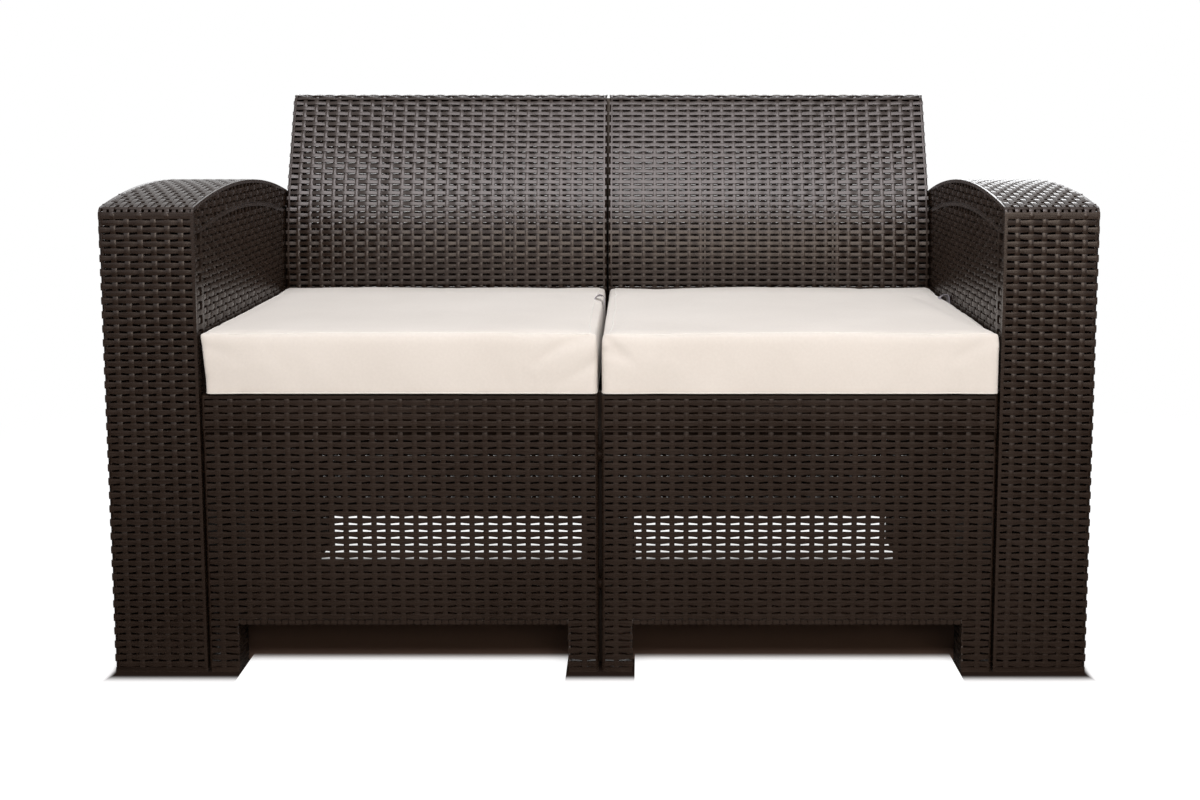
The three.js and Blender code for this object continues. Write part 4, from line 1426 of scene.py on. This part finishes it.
def closed_tube(path, radius, sides):
    work = bmesh.new()
    rings = []
    count = len(path)
    for i, point in enumerate(path):
        tangent = (path[(i + 1) % count] - path[i - 1]).normalized()
        side = tangent.cross(Vector((0, 0, 1))).normalized()
        up = side.cross(tangent)
        ring = []
        for k in range(sides):
            angle = 2 * pi * k / sides
            ring.append(work.verts.new(point + (side * cos(angle) + up * sin(angle)) * radius))
        rings.append(ring)
    for i in range(count):
        near, far = rings[i], rings[(i + 1) % count]
        for k in range(sides):
            j = (k + 1) % sides
            work.faces.new((near[k], near[j], far[j], far[k]))
    bmesh.ops.recalc_face_normals(work, faces=work.faces)
    mesh = bpy.data.meshes.new("welt")
    work.to_mesh(mesh)
    work.free()
    mesh.shade_smooth()
    return mesh


def build_cushion(side, seed):
    low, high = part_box(f"{side}_cushion_cover")
    mesh = with_modifier(cushion_seed_mesh(low, high), "REMESH", mode="VOXEL", voxel_size=CUSHION_VOXEL)
    start = vertex_array(mesh)
    mesh = inflated(mesh)
    change = vertex_array(mesh) - start
    length = np.linalg.norm(change, axis=1, keepdims=True)
    change *= np.minimum(1, CUSHION_MOVE_CAP / np.maximum(length, 1e-9))
    set_vertices(mesh, start + held_by_foam(change, start, low, high))
    set_vertices(mesh, shape_cushion(vertex_array(mesh), low, high, seed))
    mesh = with_modifier(mesh, "SUBSURF", levels=1, render_levels=1)
    mesh.shade_smooth()
    work = bmesh.new()
    work.from_mesh(mesh)
    surface = BVHTree.FromBMesh(work)
    work.free()
    cover = make_piece(
        f"{side}_cushion", [mesh], fabric, f"{side}_cushion", [f"{side}_cushion_cover"]
    )
    seams = [welt(surface, low, high, HEM_RISE, 0.0, HEM_RADIUS)]
    seams.append(welt(surface, low, high, high.z - low.z - TOP_SEAM_DROP, 1.0, TOP_SEAM_RADIUS))
    # The welts wear the paler cloth, a painted highlight along the seams
    make_piece(f"{side}_cushion_welts", seams, highlit_welt_cloth, f"{side}_cushion")


def build_foam(side):
    """The foam block inside the cover."""
    simple = {"subdivision_type": "SIMPLE", "levels": 1, "render_levels": 1}
    fine = with_modifier(node_mesh(f"{side}_foam_core"), "SUBSURF", **simple)
    places = vertex_array(fine)
    low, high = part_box(f"{side}_foam_core")
    centre = np.array((low + high) / 2)
    size = np.array(high - low)
    places = centre + (places - centre) * (size - 2 * FOAM_INSET) / size
    set_vertices(fine, places)
    fine.shade_smooth()
    core = make_piece(f"{side}_foam_block", [fine], foam, f"{side}_cushion", [f"{side}_foam_core"])


def build_label(side):
    """A ribbon loop out of the side seam, curled over the cushion's edge and pressed flat at the back."""
    low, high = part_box(f"{side}_care_label")
    x, z = high.x + 1 * MM, high.z + 1.5 * MM
    path = [(x - 1.5 * MM, low.z), (x, low.z + 8 * MM), (x - 0.5 * MM, z - 5 * MM), (x - 3 * MM, z - 1 * MM)]
    path += [(x - 8 * MM, z), (x - 13 * MM, z - 3 * MM), (x - 16 * MM, z - LABEL_RISE)]
    outline = offset_path(path, LABEL_THICKNESS / 2) + offset_path(path, -LABEL_THICKNESS / 2)[::-1]
    mesh = prism_mesh(outline, (low.y + 2 * MM, high.y - 2 * MM))
    swapped = Matrix(((0, 1, 0, 0), (1, 0, 0, 0), (0, 0, 1, 0), (0, 0, 0, 1)))
    piece = moved(mesh, swapped, mirrored=True)
    middle = (low.y + high.y) / 2
    base = z - LABEL_RISE
    for vertex in piece.vertices:
        if vertex.co.y > middle and vertex.co.z > base:
            vertex.co.z = base + (vertex.co.z - base) * LABEL_REAR_SHARE
    crisp(piece, 40)
    make_piece(
        f"{side}_label_ribbon", [piece], ribbon, f"{side}_cushion", [f"{side}_care_label"]
    )


# Floor, background and light
FLOOR_SIZE = 40
FLOOR_DROP = 0.2 * MM
FLOOR_COLOUR = (0.60, 0.59, 0.57)
# Painted reflection: where the sofa mirrors the floor, the floor is drawn far darker than it is lit
FLOOR_DARKENED_IN_REFLECTIONS = (0.08, 0.075, 0.07)
# Painted shade: the floor's colour under the sofa as the camera sees it, darker still towards the front feet
# as a painted contact shadow
PAINTED_SHADE_COLOUR = (0.20, 0.13, 0.10)
PAINTED_CONTACT_SHADOW_REACH = 262 * MM
PAINTED_CONTACT_SHADOW_SHARE = 0.12
FLOOR_GAIN = 2.3
FLOOR_GLOW = 0.85
FLOOR_FADE = (0.9, 1.9)
SHADE_HALF_WIDTH = 664 * MM
SHADE_FRONT = -320 * MM
SHADE_REAR = 318 * MM
BAY_NEAR = 47 * MM
BAY_FAR = 493 * MM
BAY_FRONT_LIGHT = 80 * MM
BAY_REAR_LIGHT = 153 * MM
SHADE_SOFTNESS = 38 * MM
SHADE_SIDE_SHARPNESS = 2.5
WORLD_STRENGTH = 0.16
# Each light's place, what it is aimed at, its width and height, its power in watts and its colour
LIGHTS = {
    "key": ((0.10, -2.0, 2.20), (0, 0.1, 0.60), (2.2, 1.4), 62, (0.99, 0.97, 0.99)),
    "overhead": ((0.1, 0.9, 2.5), (0.1, 0, 0.4), (1.5, 0.7), 24, (0.93, 0.96, 1.0)),
    "front": ((0.55, -3.0, 1.0), (0, 0, 0.35), (1.8, 1.0), 18, (1.0, 0.86, 0.70)),
    "rear": ((0.2, 2.5, 1.5), (0, 0, 0.55), (2.8, 1.0), 30, (0.96, 0.98, 1.0)),
}


def rays(sheet, *kinds):
    """For each kind of ray a value that is 1 for that kind and 0 for the others."""
    outputs = sheet.node("ShaderNodeLightPath").outputs
    return [Value(sheet, outputs[f"Is {kind} Ray"]) for kind in kinds]


def eased(value, low, high):
    inputs = {"Value": value, "From Min": low, "From Max": high}
    return value.sheet.made("ShaderNodeMapRange", inputs, "Result", interpolation_type="SMOOTHSTEP")


def open_floor(x, y):
    """The mask of the painted shade: 0 on the floor under the sofa, 1 outside it, with painted light
    reaching in between the feet.
    """
    across = abs(x)
    bay = (across > BAY_NEAR) * (across < BAY_FAR)
    ahead = SHADE_FRONT + bay * BAY_FRONT_LIGHT - y
    behind = y - (SHADE_REAR - bay * BAY_REAR_LIGHT)
    beside = (across - SHADE_HALF_WIDTH) * SHADE_SIDE_SHARPNESS
    return eased(ahead.at_least(behind).at_least(beside), 0.0, SHADE_SOFTNESS)


def floor_material():
    """The camera sees a floor as bright as the background, with the sofa's shade and a darker contact shadow
    towards the front feet painted on it.
    """
    material = bpy.data.materials.new("floor")
    material.use_nodes = True
    sheet = Sheet(material.node_tree)
    place = sheet.made("ShaderNodeTexCoord", output="Object")
    x, y, z = sheet.split(place)
    reach = sheet.made("ShaderNodeVectorMath", {0: place}, "Value", operation="LENGTH")
    camera, glossy = rays(sheet, "Camera", "Glossy")
    is_open = open_floor(x, y)
    # Painted contact shadow: the painted shade is darker from here forwards
    beyond = y * -1.0 > PAINTED_CONTACT_SHADOW_REACH
    painted_contact_shadow = 1.0 - beyond * (1 - PAINTED_CONTACT_SHADOW_SHARE)
    colour = []
    for plain, mirrored, shade in zip(FLOOR_COLOUR, FLOOR_DARKENED_IN_REFLECTIONS, PAINTED_SHADE_COLOUR):
        dark = painted_contact_shadow * shade
        seen = dark + is_open * (FLOOR_GAIN - dark)
        # Mirrored rays see the darkened floor, a painted reflection
        unseen = plain + glossy * (mirrored - plain)
        colour.append(unseen + camera * (seen - unseen))
    surface = sheet.made("ShaderNodeBsdfDiffuse", {"Color": sheet.combine(*colour)})
    glow = sheet.made("ShaderNodeEmission", {"Color": (1, 1, 1, 1), "Strength": 1.0})
    share = camera * is_open * (FLOOR_GLOW + eased(reach, *FLOOR_FADE) * (1 - FLOOR_GLOW))
    both = sheet.made("ShaderNodeMixShader", {0: share, 1: surface, 2: glow})
    sheet.feed(material.node_tree.nodes["Material Output"].inputs["Surface"], both)
    return material


def make_floor():
    bpy.ops.mesh.primitive_plane_add(size=FLOOR_SIZE, location=(0, 0, -FLOOR_DROP))
    floor = bpy.context.active_object
    floor.name = "floor"
    floor.data.materials.append(floor_material())


def make_world():
    """A dim white surround that looks bright where it is seen directly or mirrored."""
    world = bpy.data.worlds.new("studio")
    world.use_nodes = True
    sheet = Sheet(world.node_tree)
    background = world.node_tree.nodes["Background"].inputs
    background["Color"].default_value = (1, 1, 1, 1)
    camera, glossy, refracted = rays(sheet, "Camera", "Glossy", "Transmission")
    seen = camera.at_least(glossy).at_least(refracted)
    sheet.feed(background["Strength"], WORLD_STRENGTH + seen * (1 - WORLD_STRENGTH))
    scene.world = world


def make_light(name, place, aim, size, power, colour):
    data = bpy.data.lights.new(name, "AREA")
    data.shape = "RECTANGLE"
    data.size, data.size_y = size
    data.energy = power
    data.color = colour
    light = bpy.data.objects.new(name, data)
    light.location = place
    light.rotation_euler = (Vector(aim) - Vector(place)).to_track_quat("-Z", "Y").to_euler()
    scene.collection.objects.link(light)


# The whole scene
make_camera()
mottle_tree = mottle_group()
cloth_tree = cloth_weave_group()
resin = resin_material()
nylon = nylon_material()
fabric, highlit_welt_cloth, zip_cloth, ribbon = [cloth_material(name, *look) for name, look in CLOTHS.items()]
foam = foam_material()
zip_metal = metal_material()
weave_tree = rattan_weave()
tab_tree = edge_tabs()

build_front_panel()
build_seat_panel()
build_backrest()
build_rear_panel()
build_arm_frame()
build_arm_side()
build_arm_edges()
build_inner_panel()
for cushion_side, cushion_seed in (("left", 1), ("right", 2)):
    build_cushion(cushion_side, cushion_seed)
    build_foam(cushion_side)
    build_label(cushion_side)

FINISHES = {
    "bolt": nylon,
    "wing_nut": nylon,
    "zip": zip_cloth,
    "zip_slider": zip_metal,
    "zip_pull": zip_metal,
}
for node_name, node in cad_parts.items():
    for ending, finish in FINISHES.items():
        if node_name.endswith("_" + ending):
            node.data.materials.clear()
            node.data.materials.append(finish)

make_floor()
make_world()
for light_name, light_values in LIGHTS.items():
    make_light(light_name, *light_values)
scene.view_settings.view_transform = "Standard"
